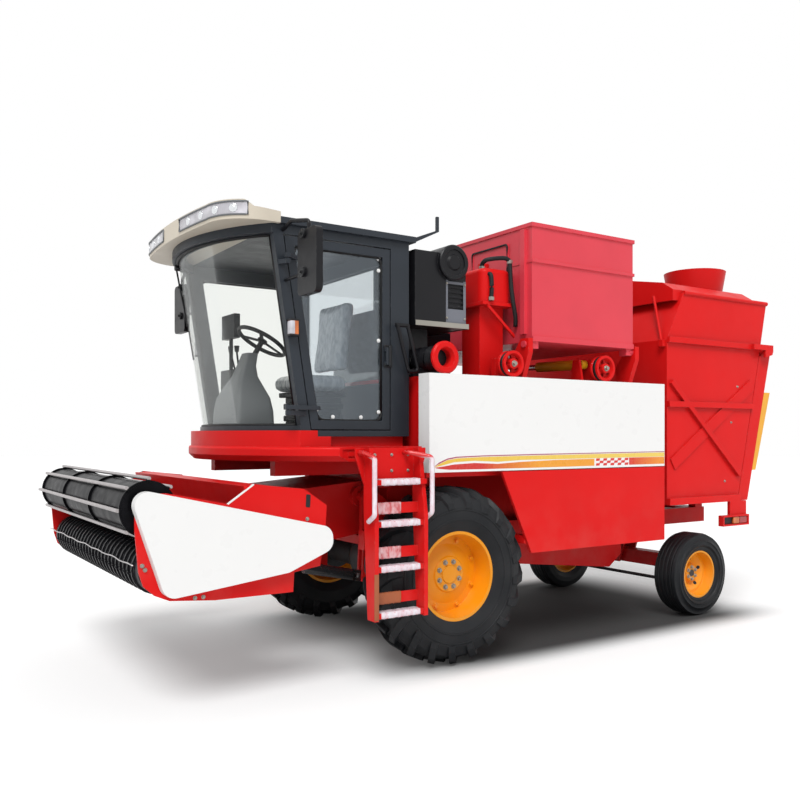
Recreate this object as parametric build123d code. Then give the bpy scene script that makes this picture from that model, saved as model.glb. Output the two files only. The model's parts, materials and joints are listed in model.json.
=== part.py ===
import math
import os

from build123d import *

# Self-propelled peanut harvester with a windrow pick-up header, a cab, a tipping pod bin and a vine bin.
# Millimetres. x runs forward from the drive axle, y to the left and z up from the ground.
# Every piece is moved by FRAME_SHIFT_X at export, so that the origin lies under the middle of the machine.

# Clearances
RUN_FIT = 0.05
MOVE_GAP = 8.0

# Drive wheels at the front
DRIVE_TYRE_R = 632.0
DRIVE_TYRE_W = 378.0
DRIVE_RIM_R = 318.0
LUG_COUNT = 20
LUG_H = 38.0
LUG_W = 46.0
LUG_LEAN = 40.0
DRIVE_TRACK_Y = 941.0
DRIVE_SHAFT_R = 60.0

# Steered wheels at the rear
WHEELBASE = 2850.0
STEER_X = -WHEELBASE
STEER_TYRE_R = 370.0
STEER_TYRE_W = 250.0
STEER_RIM_R = 212.0
STEER_TRACK_Y = 845.0
KINGPIN_Y = 640.0
KINGPIN_R = 22.0
SPINDLE_R = 30.0
STEER_ARM = 190.0
TIE_PIN_R = 12.0

# Chassis rails and threshing body
RAIL_Y0 = 560.0
RAIL_Y1 = 640.0
RAIL_Z0 = 800.0
RAIL_Z1 = 940.0
RAIL_FRONT_X = 500.0
RAIL_REAR_X = -3320.0
TIE_Z = 868.0
PIVOT_Z = STEER_TYRE_R + 85.0
PIVOT_PIN_R = 30.0
TOW_REACH = 90.0
TOW_Z = 840.0
TOW_PLATE = 30.0
TOW_BORE_R = 16.0
BODY_FRONT_X = 250.0
BODY_REAR_X = -2250.0
BODY_TOP_Z = 2050.0
BODY_WIDE_Y = 1000.0
ARCH_GAP = 66.0
BODY_WIDE_Z0 = 2 * DRIVE_TYRE_R + ARCH_GAP

# Side panels
PANEL_Y = 1130.0
PANEL_SKIN = 25.0
PANEL_TOP_Z = 2058.0
PANEL_SPLIT_Z = 1370.0
PANEL_BOTTOM_Z = 750.0
PANEL_REAR_X = -2150.0
PANEL_FRONT_X = 272.0

# Cab
CAB_HALF_Y = 850.0
CAB_REAR_X = 253.0
CAB_FLOOR_Z = 1620.0
CAB_TOP_Z = 3000.0
CAB_WALL = 50.0
PILLAR_FOOT_X = 1050.0
PILLAR_HEAD_X = 1267.0
SCREEN_BULGE = 335.0
GLASS = 8.0
SILL_H = 32.0
SIDE_FRAME = 48.0
REAR_WINDOW_Y = 700.0
REAR_WINDOW_Z = 2010.0
STRIP_TAIL = 55.0
DOOR_REAR_X = 415.0
DOOR_AXIS_X = 1232.0
DOOR_PIN_OUT = 55.0
DOOR_AXIS_Y = CAB_HALF_Y + DOOR_PIN_OUT
DOOR_PIN_R = 10.0

# Roof
ROOF_FRONT_X = 1660.0
ROOF_REAR_X = 215.0
ROOF_OVERHANG = 35.0
ROOF_HALF_Y = CAB_HALF_Y + ROOF_OVERHANG
ROOF_CORNER_R = 290.0
ROOF_EDGE_Z = 3125.0
ROOF_TOP_Z = 3165.0
REAR_EDGE_Z = 3042.0
REAR_TOP_Z = 3072.0
BROW_X = 1560.0
LAMP_SWEEP = 175.0
VISOR_X = 1270.0
MIRROR_OUT = 215.0
MIRROR_W = 255.0
CONSOLE_GAP = 90.0

# Platform and ladder
DECK_Z0 = 1455.0
DECK_Z1 = 1552.0
DECK_HALF_Y = 1050.0
DECK_REAR_X = 280.0
DECK_SIDE_X = 930.0
NOSE_REACH = 570.0
NOSE_UNDERCUT = 38.0
NOSE_ROUND = 18.0
RECESS_X0 = 560.0
RECESS_X1 = 905.0
LADDER_X0 = 395.0
LADDER_X1 = 808.0
LADDER_DECK_GAP = 100.0
LADDER_TYRE_GAP = 20.0
LADDER_DEPTH = 140.0
LADDER_Y0 = max(DECK_HALF_Y + LADDER_DECK_GAP, DRIVE_TRACK_Y + DRIVE_TYRE_W / 2 + LADDER_TYRE_GAP)
LADDER_Y1 = LADDER_Y0 + LADDER_DEPTH
LADDER_SET_DOWN = 7.0
LADDER_TOP_Z = DECK_Z1 - LADDER_SET_DOWN
LADDER_TREADS = (472.0, 768.0, 1058.0, 1327.0)
LADDER_PLATE = 12.0
HANDRAIL_R = 16.0

# Header: feeder house, trough, press reel, pick-up and auger
LIFT_X = 440.0
LIFT_Z = 1180.0
LIFT_SHAFT_R = 40.0
FEEDER_HALF_Y = 450.0
FEEDER_PLATE = 20.0
HEADER_HALF_Y = 1150.0
HEADER_PLATE = 14.0
REEL_X = 2190.0
REEL_Z = 1212.0
REEL_DRUM_R = 150.0
REEL_DISC_R = 163.0
REEL_SLAT_R = 185.0
SLAT_R = 11.0
REEL_SHAFT_R = 30.0
PICKUP_X = 2110.0
PICKUP_Z = 862.0
PICKUP_TUBE_R = 60.0
PICKUP_DRUM_R = 138.0
PICKUP_RIB_R = 151.0
PICKUP_TIP_R = 165.0
PICKUP_PITCH = 84.0
PICKUP_RIB_W = 16.0
PICKUP_SIDES = 24
PICKUP_SHAFT_R = 22.0
AUGER_X = 1765.0
AUGER_Z = 885.0
AUGER_TUBE_R = 65.0
AUGER_FLIGHT_R = 150.0
AUGER_PITCH = 250.0
AUGER_TURNS = 2.75
AUGER_SHAFT_R = 22.0
BACK_WALL_X = 1600.0

# Pod bin, tipping to the left about the pins at its lower left edge
POD_X0 = -1850.0
POD_X1 = -736.0
POD_HALF_Y = 1050.0
POD_Z0 = 2342.0
POD_Z1 = 3245.0
POD_SEAM_Z = 2955.0
POD_WALL = 25.0
TIP_Y = 1025.0
TIP_Z = 2318.0
TIP_PIN_R = 25.0

# Vine bin with a tailgate hung at its top edge
VINE_HALF_Y = 1000.0
VINE_WALL = 25.0
VINE_FRONT_X = -2340.0
VINE_FLOOR_Z = 1020.0
VINE_FOOT_REAR_X = -3325.0
VINE_LIP_Z = 2460.0
VINE_LIP_REAR_X = -3680.0
VINE_TOP_Z = 2885.0
VINE_TOP_FRONT_X = -2560.0
VINE_TOP_REAR_X = -3775.0
VINE_CAP_FRONT_X = -2450.0
VINE_CAP_REAR_X = -3600.0
VINE_CAP_SKIRT_Z = 2815.0
VINE_CAP_EAVE_Z = 2985.0
VINE_CAP_RIDGE_Z = 3150.0
COLLAR_X = -3360.0
COLLAR_Y = 500.0
COLLAR_FOOT_R = 250.0
COLLAR_RIM_R = 290.0
COLLAR_TOP_Z = 3215.0
GATE_POST = 130.0
GATE_HEAD = 92.0
GATE_AXIS_X = -3755.0
GATE_AXIS_Z = 2425.0
GATE_PIN_R = 18.0

# Hydraulic cylinders: base pin, eye at the rod's end, barrel and rod
CYL_SIDE_GAP = 6.0
LIFT_CYL_Y = 360.0
LIFT_CYL_BASE = (330.0, 560.0)
LIFT_CYL_EYE = (1150.0, 735.0)
LIFT_CYL_R = 42.0
LIFT_ROD_R = 22.0
LIFT_PIN_R = 18.0
POD_CYL_X = -1415.0
POD_CYL_BASE = (900.0, 2205.0)
POD_CYL_EYE = (150.0, 2222.0)
POD_CYL_R = 42.0
POD_ROD_R = 24.0
POD_PIN_R = 18.0

FRAME_SHIFT_X = -(REEL_X + REEL_SLAT_R + GATE_AXIS_X - GATE_HEAD) / 2


def block(x0, x1, y0, y1, z0, z1):
    """Box between two corners."""
    size = Box(abs(x1 - x0), abs(y1 - y0), abs(z1 - z0))
    return Pos((x0 + x1) / 2, (y0 + y1) / 2, (z0 + z1) / 2) * size


def across(points, y0, y1):
    """Prism of an outline in x and z, running from y0 to y1."""
    low = min(y0, y1)
    face = make_face(Polyline(*[(x, low, z) for x, z in points], close=True))
    return extrude(face, amount=abs(y1 - y0), dir=(0, 1, 0))


def across_rounded(points, radius, y0, y1):
    """Prism like across(), with every corner of the outline rounded."""
    face = make_face(FilletPolyline(*[(x, y0, z) for x, z in points], radius=radius, close=True))
    return extrude(face, amount=y1 - y0, dir=(0, 1, 0))


def upright(points, z0, z1):
    """Prism of an outline in x and y, running from z0 to z1."""
    face = make_face(Polyline(*[(x, y, z0) for x, y in points], close=True))
    return extrude(face, amount=z1 - z0, dir=(0, 0, 1))


def along(points, x0, x1):
    """Prism of an outline in y and z, running from x0 to x1."""
    face = make_face(Polyline(*[(x0, y, z) for y, z in points], close=True))
    return extrude(face, amount=x1 - x0, dir=(1, 0, 0))


def rod(start, end, radius):
    """Round bar between two points."""
    a = Vector(*start)
    b = Vector(*end)
    return extrude(Plane(origin=a, z_dir=b - a) * Circle(radius), amount=(b - a).length)


def round_y(x, z, radius, y0, y1):
    """Round bar along y."""
    return rod((x, min(y0, y1), z), (x, max(y0, y1), z), radius)


def pipe(points, radius, bend):
    """Bent round tube through the given points."""
    path = FilletPolyline(*points, radius=bend)
    section = Plane(origin=path @ 0, z_dir=path % 0) * Circle(radius)
    return sweep(section, path=path)


def turned(profile, x, y, z):
    """Solid turned about a line along y; the profile lists (offset along y, radius)."""
    face = make_face(Polyline(*[(x, y + w, z + r) for w, r in profile], close=True))
    return revolve(face, axis=Axis((x, y, z), (0, 1, 0)))


def mirrored(shape):
    """The same piece on the right-hand side."""
    return mirror(shape, about=Plane.XZ)


def pair(shape):
    """A left-hand piece with its right-hand twin."""
    return [shape, mirrored(shape)]


def joined(*shapes):
    """One body made of all the given shapes."""
    flat = []
    for item in shapes:
        flat.extend(item if isinstance(item, list) else [item])
    total = flat[0]
    for item in flat[1:]:
        total = total + item
    return total


def on_line(a, b, z):
    """x of the line from a to b, both (x, z), at height z."""
    return a[0] + (b[0] - a[0]) * (z - a[1]) / (b[1] - a[1])


# Chassis

def chassis_frame():
    rail = block(RAIL_REAR_X, RAIL_FRONT_X, RAIL_Y0, RAIL_Y1, RAIL_Z0, RAIL_Z1)
    bracket = across(
        [(250, RAIL_Z1), (RAIL_FRONT_X, RAIL_Z1), (RAIL_FRONT_X, LIFT_Z), (470, 1240), (410, 1240), (250, 1120)],
        RAIL_Y0 + 10,
        RAIL_Y0 + 50,
    )
    half = joined(rail, bracket)
    for x in (-640, -1360, -2080):
        half = half + block(x - 30, x + 30, RAIL_Y1, PANEL_Y - PANEL_SKIN, RAIL_Z0 + 20, RAIL_Z0 + 80)
    cradle = []
    for x in (STEER_X - 95, STEER_X + 75):
        cheek = along([(-230, RAIL_Z0), (230, RAIL_Z0), (80, PIVOT_Z - 70), (-80, PIVOT_Z - 70)], x, x + 20)
        cradle.append(cheek - rod((x - 1, 0, PIVOT_Z), (x + 21, 0, PIVOT_Z), PIVOT_PIN_R))
    cross_x = (BODY_REAR_X - 100, STEER_X, RAIL_REAR_X + 100)
    crossings = [block(x - 100, x + 100, -RAIL_Y0, RAIL_Y0, RAIL_Z0, RAIL_Z1) for x in cross_x]
    shaft = round_y(LIFT_X, LIFT_Z, LIFT_SHAFT_R, -(RAIL_Y0 + 60), RAIL_Y0 + 60)
    hanger_x, hanger_z = LIFT_CYL_BASE
    cheeks = []
    for y in (LIFT_CYL_Y - 40, LIFT_CYL_Y + 20):
        plate = across(
            [
                (hanger_x - 60, TIE_Z),
                (hanger_x + 30, TIE_Z),
                (hanger_x + 45, hanger_z - 30),
                (hanger_x - 45, hanger_z - 30),
            ],
            y,
            y + 20,
        )
        cheeks.append(plate)
    pin = round_y(hanger_x, hanger_z, LIFT_PIN_R, LIFT_CYL_Y - 40, LIFT_CYL_Y + 40)
    hanger = joined(*cheeks, pin)
    tie = block(hanger_x - 60, hanger_x + 30, -RAIL_Y0, RAIL_Y0, RAIL_Z0, TIE_Z)
    tow = block(RAIL_REAR_X - TOW_REACH - 50, RAIL_REAR_X + 1, -60, 60, TOW_Z, TOW_Z + TOW_PLATE)
    tow_x = RAIL_REAR_X - TOW_REACH
    tow = tow - rod((tow_x, 0, TOW_Z - 1), (tow_x, 0, TOW_Z + TOW_PLATE + 1), TOW_BORE_R)
    return joined(pair(half), cradle, crossings, shaft, pair(hanger), tie, tow)


def drive_axle():
    pads = pair(block(-110, 110, RAIL_Y0, RAIL_Y1, 690, RAIL_Z0))
    beam = round_y(0, DRIVE_TYRE_R, 105, -690, 690)
    case = turned([(-200, 0), (-200, 150), (-90, 200), (90, 200), (200, 150), (200, 0)], 0, 0, DRIVE_TYRE_R)
    flange = pair(round_y(0, DRIVE_TYRE_R, 160, 650, 720))
    shaft = round_y(0, DRIVE_TYRE_R, DRIVE_SHAFT_R, -DRIVE_TRACK_Y - 20, DRIVE_TRACK_Y + 20)
    return joined(beam, case, flange, shaft, pads)


def steer_axle():
    z = STEER_TYRE_R
    beam = block(STEER_X - 60, STEER_X + 60, -KINGPIN_Y + 70, KINGPIN_Y - 70, z + 20, z + 150)
    pivot = rod((STEER_X - 70, 0, PIVOT_Z), (STEER_X + 70, 0, PIVOT_Z), 68)
    pivot = pivot + rod((STEER_X - 115, 0, PIVOT_Z), (STEER_X + 115, 0, PIVOT_Z), PIVOT_PIN_R)
    end = block(STEER_X - 45, STEER_X + 45, KINGPIN_Y - 75, KINGPIN_Y, z - 45, z + 105)
    boss = rod((STEER_X, KINGPIN_Y, z - 70), (STEER_X, KINGPIN_Y, z + 130), 45)
    pin = rod((STEER_X, KINGPIN_Y, z - 130), (STEER_X, KINGPIN_Y, z + 190), KINGPIN_R)
    return joined(beam, pivot, pair(end), pair(boss), pair(pin))


def knuckle():
    z = STEER_TYRE_R
    axis = (STEER_X, KINGPIN_Y)
    yoke = block(STEER_X - 40, STEER_X + 40, KINGPIN_Y + 55, KINGPIN_Y + 95, z - 120, z + 180)
    for z0, z1 in ((z - 120, z - 78), (z + 138, z + 180)):
        yoke = yoke + rod((*axis, z0), (*axis, z1), 48)
        yoke = yoke + block(STEER_X - 40, STEER_X + 40, KINGPIN_Y, KINGPIN_Y + 95, z0, z1)
    arm_end = (STEER_X - STEER_ARM, KINGPIN_Y)
    yoke = yoke + bar_flat((STEER_X, KINGPIN_Y), arm_end, 60, z - 120, z - 90)
    yoke = yoke - rod((*axis, z - 140), (*axis, z + 200), KINGPIN_R + RUN_FIT)
    spindle = round_y(STEER_X, z, SPINDLE_R, KINGPIN_Y + 90, STEER_TRACK_Y + 20)
    pin = rod((*arm_end, z - 150), (*arm_end, z - 95), TIE_PIN_R)
    return joined(yoke, spindle, pin)


def bar_flat(start, end, width, z0, z1):
    """Flat bar between two points of a plan view, with round ends."""
    ax, ay = start
    bx, by = end
    length = math.hypot(bx - ax, by - ay)
    turn = math.degrees(math.atan2(by - ay, bx - ax))
    strip = Pos(length / 2, 0, 0) * Box(length, width, z1 - z0)
    ends = [Cylinder(width / 2, z1 - z0), Pos(length, 0, 0) * Cylinder(width / 2, z1 - z0)]
    return Pos(ax, ay, (z0 + z1) / 2) * (Rot(0, 0, turn) * joined(strip, ends))


def tie_rod():
    x = STEER_X - STEER_ARM
    y = KINGPIN_Y
    z = STEER_TYRE_R - 138
    eyes = pair(rod((x, y, z - 10), (x, y, z + 10), 28))
    bores = [
        rod((x, y, z - 20), (x, y, z + 20), TIE_PIN_R + RUN_FIT),
        rod((x, -y, z - 20), (x, -y, z + 20), TIE_PIN_R + 1.0),
    ]
    tube = round_y(x, z, 16, -y + 22, y - 22)
    shape = joined(tube, eyes)
    for bore in bores:
        shape = shape - bore
    return shape


def thresher_body():
    hull = across(
        [
            (BODY_FRONT_X, 900),
            (-320, 900),
            (-620, 690),
            (-1000, 570),
            (-2100, 450),
            (BODY_REAR_X, 560),
            (BODY_REAR_X, BODY_TOP_Z),
            (BODY_FRONT_X, BODY_TOP_Z),
        ],
        -RAIL_Y0,
        RAIL_Y0,
    )
    wide = block(PANEL_REAR_X, BODY_FRONT_X - 40, -BODY_WIDE_Y, BODY_WIDE_Y, BODY_WIDE_Z0, BODY_TOP_Z)
    chute = block(VINE_FRONT_X, BODY_REAR_X + 1, -470, 470, 1480, 1960)
    inlet = block(BODY_FRONT_X - 160, BODY_FRONT_X + 1, -430, 430, 960, 1290)
    return joined(hull, wide, chute) - inlet


def engine_block():
    block_part = block(-560, 60, -620, 250, BODY_TOP_Z, 2470)
    head = block(-520, 20, -520, 120, 2470, 2610)
    cover = block(-480, -20, -440, 40, 2610, 2660)
    return joined(block_part, head, cover)


# Side panels

def panel_upper():
    skin = block(PANEL_REAR_X, PANEL_FRONT_X, BODY_WIDE_Y, PANEL_Y, PANEL_SPLIT_Z, PANEL_TOP_Z)
    hollow = block(
        PANEL_REAR_X + PANEL_SKIN,
        PANEL_FRONT_X - PANEL_SKIN,
        BODY_WIDE_Y - 1,
        PANEL_Y - PANEL_SKIN,
        PANEL_SPLIT_Z + PANEL_SKIN,
        PANEL_TOP_Z - PANEL_SKIN,
    )
    return skin - hollow


def panel_lower():
    outline = [
        (-375, PANEL_SPLIT_Z - 6),
        (-660, PANEL_BOTTOM_Z),
        (PANEL_REAR_X, PANEL_BOTTOM_Z),
        (PANEL_REAR_X, PANEL_SPLIT_Z - 6),
    ]
    skin = across(outline, PANEL_Y - PANEL_SKIN, PANEL_Y)
    frame = across([(-560, 1310), (-585, 1340), (PANEL_REAR_X, 1340), (PANEL_REAR_X, 1310)], PANEL_Y - 60, PANEL_Y - PANEL_SKIN)
    return joined(skin, frame)


# Platform and ladder

def plan_face(x_rear, x_side, half_y, bulge, z):
    """Plan with straight sides and back and an arched front."""
    right = (x_side, -half_y, z)
    middle = (x_side + bulge, 0, z)
    left = (x_side, half_y, z)
    edges = [
        Line((x_rear, half_y, z), (x_rear, -half_y, z)),
        Line((x_rear, -half_y, z), right),
        ThreePointArc(right, middle, left),
        Line(left, (x_rear, half_y, z)),
    ]
    return make_face(edges)


def platform_deck():
    plan = plan_face(DECK_REAR_X, DECK_SIDE_X, DECK_HALF_Y, NOSE_REACH, DECK_Z0)
    slab = extrude(plan, amount=DECK_Z1 - DECK_Z0, dir=(0, 0, 1))
    lower_arc, upper_arc = slab.edges().filter_by(GeomType.CIRCLE).sort_by(Axis.Z)
    slab = chamfer(lower_arc, NOSE_UNDERCUT)
    slab = fillet(slab.edges().filter_by(GeomType.CIRCLE).sort_by(Axis.Z)[-1], NOSE_ROUND)
    recess = block(RECESS_X0, RECESS_X1, DECK_HALF_Y - 10, DECK_HALF_Y + 1, DECK_Z0 + 20, DECK_Z1 - 18)
    panel = block(RECESS_X0 + 75, RECESS_X1 - 45, DECK_HALF_Y - 11, DECK_HALF_Y - 3, DECK_Z0 + 34, DECK_Z1 - 32)
    for cutter in pair(recess):
        slab = slab - cutter
    cowl = extrude(
        plan_face(PILLAR_FOOT_X - 160, PILLAR_FOOT_X + 70, CAB_HALF_Y + 12, SCREEN_BULGE + 30, DECK_Z1),
        amount=CAB_FLOOR_Z - DECK_Z1,
        dir=(0, 0, 1),
    )
    lip_z = CAB_FLOOR_Z + 40
    lip = extrude(
        plan_face(PILLAR_FOOT_X - 60, PILLAR_FOOT_X + 70, CAB_HALF_Y + 12, SCREEN_BULGE + 30, CAB_FLOOR_Z - 1),
        amount=lip_z - CAB_FLOOR_Z + 1,
        dir=(0, 0, 1),
    )
    lip = lip - extrude(
        plan_face(PILLAR_FOOT_X - 61, PILLAR_FOOT_X + 1, CAB_HALF_Y + 1, SCREEN_BULGE + 1, CAB_FLOOR_Z - 2),
        amount=lip_z,
        dir=(0, 0, 1),
    )
    seat_plate = block(DECK_REAR_X, PILLAR_FOOT_X - 100, -CAB_HALF_Y + 40, CAB_HALF_Y - 40, DECK_Z1, CAB_FLOOR_Z)
    beams = pair(block(BODY_FRONT_X, DECK_SIDE_X + 250, 520, 600, 1350, DECK_Z0))
    posts = pair(block(BODY_FRONT_X, 350, 520, 600, 1240, 1350))
    return joined(slab, pair(panel), cowl, lip, seat_plate, beams, posts)


def ladder():
    parts = []
    back = LADDER_Y0 + LADDER_PLATE
    for x in (LADDER_X0, LADDER_X1 - 30):
        outline = [
            (LADDER_Y0, LADDER_TOP_Z),
            (LADDER_Y0, 1150),
            (LADDER_Y0 + 50, 440),
            (LADDER_Y1, 440),
            (LADDER_Y1, 1100),
            (LADDER_Y0 + 70, LADDER_TOP_Z),
        ]
        parts.append(along(outline, x, x + 30))
        parts.append(block(x, x + 30, DECK_HALF_Y, LADDER_Y0 + 1, DECK_Z0, LADDER_TOP_Z))
    wide = [
        (LADDER_X0 - 68, LADDER_TOP_Z),
        (LADDER_X0 - 68, 1490),
        (LADDER_X0 + 1, 1300),
        (LADDER_X1 - 1, 1300),
        (LADDER_X1 + 68, 1490),
        (LADDER_X1 + 68, LADDER_TOP_Z),
    ]
    parts.append(across(wide, LADDER_Y0, back))
    for z in LADDER_TREADS:
        parts.append(block(LADDER_X0 + 1, LADDER_X1 - 1, LADDER_Y0 + 55, LADDER_Y1 - 10, z - 20, z + 15))
    for z in LADDER_TREADS[:-1]:
        riser_y = LADDER_Y0 + 52
        parts.append(block(LADDER_X0 + 1, LADDER_X1 - 1, riser_y, riser_y + LADDER_PLATE, z + 60, z + 130))
    return joined(*parts)


HANDRAILS = (
    # x of the foot on the ladder's plate, x of the upright
    (LADDER_X1 + 40, LADDER_X1 + HANDRAIL_R),
    (LADDER_X0 + 110, LADDER_X0 - HANDRAIL_R),
)


def handrails():
    rails = []
    plate = LADDER_Y0 + LADDER_PLATE
    out = LADDER_Y1 + 24
    for foot_x, x in HANDRAILS:
        points = [
            (foot_x, plate, 1515),
            (foot_x, plate + 60, 1515),
            (x, out, 1485),
            (x, out, 1120),
            (x, LADDER_Y0 + 90, 1075),
        ]
        rails.append(pipe(points, HANDRAIL_R, 28))
    hoop_y = CAB_HALF_Y + 65
    top, foot = (395, 2405), (300, 2080)
    width = 85
    loop = [
        (top[0] - width, hoop_y, top[1]),
        (foot[0] - width, hoop_y, foot[1]),
        (foot[0], hoop_y, foot[1]),
        (top[0], hoop_y, top[1]),
    ]
    bar_z = top[1] - 6
    hoop = pipe(loop, 13, 24) + rod((top[0] - width - 12, hoop_y, bar_z), (top[0] + 12, hoop_y, bar_z), 14)
    for x, z in ((top[0] - width / 2, bar_z), (foot[0] - width / 2, foot[1])):
        hoop = hoop + rod((x, CAB_HALF_Y, z), (x, hoop_y, z), 9)
    return rails, hoop


# Cab

def lean(z):
    """How far the front pillars have leaned forward at height z."""
    return (PILLAR_HEAD_X - PILLAR_FOOT_X) * (z - CAB_FLOOR_Z) / (CAB_TOP_Z - CAB_FLOOR_Z)


def arc_strip(x_side, half_y, bulge, depth, z):
    """Curved strip in plan: its outer edge runs through both corners and the bulge, its inner edge is depth behind."""
    radius = (half_y**2 + bulge**2) / (2 * bulge)
    centre_x = x_side + bulge - radius
    ring = Circle(radius) - Circle(radius - depth)
    reach = bulge + STRIP_TAIL
    window = Pos(radius + 1 - (reach + 1) / 2, 0, 0) * Rectangle(reach + 1, 2 * half_y)
    return Pos(centre_x, 0, z) * (ring & window)


def cab_frame():
    floor = extrude(
        plan_face(CAB_REAR_X, PILLAR_FOOT_X, CAB_HALF_Y, SCREEN_BULGE, CAB_FLOOR_Z), amount=40, dir=(0, 0, 1)
    )
    z_sill = CAB_FLOOR_Z + 40
    z_head = CAB_TOP_Z - 60
    sill_face = arc_strip(PILLAR_FOOT_X + 50 + lean(z_sill), CAB_HALF_Y, SCREEN_BULGE - 40, 70, z_sill)
    sill = extrude(sill_face, amount=SILL_H, dir=(0, 0, 1))
    head_face = arc_strip(PILLAR_FOOT_X + 60 + lean(z_head), CAB_HALF_Y, SCREEN_BULGE - 30, 90, z_head)
    head = extrude(head_face, amount=CAB_TOP_Z - z_head, dir=(0, 0, 1))
    pillar = across(
        [
            (PILLAR_FOOT_X - 20 + lean(z_sill), z_sill),
            (PILLAR_FOOT_X + 50 + lean(z_sill), z_sill),
            (PILLAR_FOOT_X + 50 + lean(z_head), z_head),
            (PILLAR_FOOT_X - 20 + lean(z_head), z_head),
        ],
        CAB_HALF_Y - 60,
        CAB_HALF_Y,
    )
    rear_post = block(CAB_REAR_X, CAB_REAR_X + CAB_WALL, CAB_HALF_Y - 60, CAB_HALF_Y, z_sill, CAB_TOP_Z)
    roof_rail = block(CAB_REAR_X + CAB_WALL, PILLAR_HEAD_X, CAB_HALF_Y - 60, CAB_HALF_Y, z_head, CAB_TOP_Z)
    roof_cross = block(CAB_REAR_X, CAB_REAR_X + CAB_WALL, -CAB_HALF_Y + 60, CAB_HALF_Y - 60, z_head, CAB_TOP_Z)
    quarter = block(CAB_REAR_X + CAB_WALL, DOOR_REAR_X - MOVE_GAP, CAB_HALF_Y - 60, CAB_HALF_Y, z_sill, z_head)
    frame = joined(floor, sill, head, pair(pillar), pair(rear_post), pair(roof_rail), roof_cross, quarter)
    for z in HINGE_Z:
        frame = frame + door_hinge_base(z)
    return frame


HINGE_Z = (1800.0, 2780.0)


def door_hinge_base(z):
    """Fixed leaf and pin of a door hinge on the left front pillar."""
    foot_x = PILLAR_FOOT_X + 15 + lean(z)
    leaf = upright(
        [
            (foot_x - 25, CAB_HALF_Y - 1),
            (foot_x + 25, CAB_HALF_Y - 1),
            (DOOR_AXIS_X + 14, DOOR_AXIS_Y - 6),
            (DOOR_AXIS_X + 14, DOOR_AXIS_Y + 14),
            (DOOR_AXIS_X - 14, DOOR_AXIS_Y + 14),
        ],
        z - 42,
        z - 12,
    )
    pin = rod((DOOR_AXIS_X, DOOR_AXIS_Y, z - 42), (DOOR_AXIS_X, DOOR_AXIS_Y, z + 30), DOOR_PIN_R)
    return joined(leaf, pin)


def side_window_outline(inset):
    """Outline of the side opening between rear post, front pillar, sill and roof rail, moved in by inset."""
    z0 = CAB_FLOOR_Z + 40 + inset
    z1 = CAB_TOP_Z - 60 - inset
    rear = CAB_REAR_X + CAB_WALL + inset
    front = PILLAR_FOOT_X - 20 - inset
    return [(rear, z0), (front + lean(z0), z0), (front + lean(z1), z1), (rear, z1)]


def cab_walls():
    z0 = CAB_FLOOR_Z + 40
    z1 = CAB_TOP_Z - 60
    right = across(side_window_outline(0), -CAB_HALF_Y, -CAB_HALF_Y + 60)
    right = right - across(side_window_outline(SIDE_FRAME), -CAB_HALF_Y - 1, -CAB_HALF_Y + 61)
    rear = block(CAB_REAR_X, CAB_REAR_X + CAB_WALL, -CAB_HALF_Y + 60, CAB_HALF_Y - 60, z0, z1)
    rear = rear - block(CAB_REAR_X - 1, CAB_REAR_X + CAB_WALL + 1, -REAR_WINDOW_Y, REAR_WINDOW_Y, REAR_WINDOW_Z, z1 - SIDE_FRAME)
    return right, rear


def cab_glass():
    z0 = CAB_FLOOR_Z + 40 + SILL_H
    z1 = CAB_TOP_Z - 60
    band = arc_strip(PILLAR_FOOT_X + 35 + lean(z0), CAB_HALF_Y - 60, SCREEN_BULGE - 45, GLASS, z0)
    drift = Vector(lean(z1) - lean(z0), 0, z1 - z0)
    screen = extrude(band, amount=drift.length, dir=drift)
    right = across(side_window_outline(SIDE_FRAME), -CAB_HALF_Y + 20, -CAB_HALF_Y + 20 + GLASS)
    rear = block(CAB_REAR_X + 20, CAB_REAR_X + 20 + GLASS, -REAR_WINDOW_Y, REAR_WINDOW_Y, REAR_WINDOW_Z, z1 - SIDE_FRAME)
    return screen, right, rear


def door_outline(inset):
    z0 = CAB_FLOOR_Z + 40 + MOVE_GAP + inset
    z1 = CAB_TOP_Z - 60 - MOVE_GAP - inset
    rear = DOOR_REAR_X + inset
    front = PILLAR_FOOT_X - 20 - MOVE_GAP - inset
    return [(rear, z0), (front + lean(z0), z0), (front + lean(z1), z1), (rear, z1)]


def cab_door():
    door = across(door_outline(0), CAB_HALF_Y - 50, CAB_HALF_Y)
    door = door - across(door_outline(60), CAB_HALF_Y - 51, CAB_HALF_Y + 1)
    for z in HINGE_Z:
        edge_x = PILLAR_FOOT_X - 55 + lean(z)
        strap = upright(
            [
                (edge_x - 60, CAB_HALF_Y - 1),
                (edge_x - 10, CAB_HALF_Y - 1),
                (DOOR_AXIS_X + 16, DOOR_AXIS_Y - 16),
                (DOOR_AXIS_X + 16, DOOR_AXIS_Y + 16),
                (DOOR_AXIS_X - 16, DOOR_AXIS_Y + 16),
            ],
            z - 4,
            z + 24,
        )
        door = door + strap
        door = door - rod((DOOR_AXIS_X, DOOR_AXIS_Y, z - 20), (DOOR_AXIS_X, DOOR_AXIS_Y, z + 40), DOOR_PIN_R + RUN_FIT)
    handle = block(DOOR_REAR_X + 12, DOOR_REAR_X + 48, CAB_HALF_Y - 1, CAB_HALF_Y + 35, 2120, 2240)
    handle = handle - block(DOOR_REAR_X + 11, DOOR_REAR_X + 49, CAB_HALF_Y, CAB_HALF_Y + 22, 2145, 2215)
    return joined(door, handle)


def door_glass():
    return across(door_outline(60), CAB_HALF_Y - 30, CAB_HALF_Y - 30 + GLASS)


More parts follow.
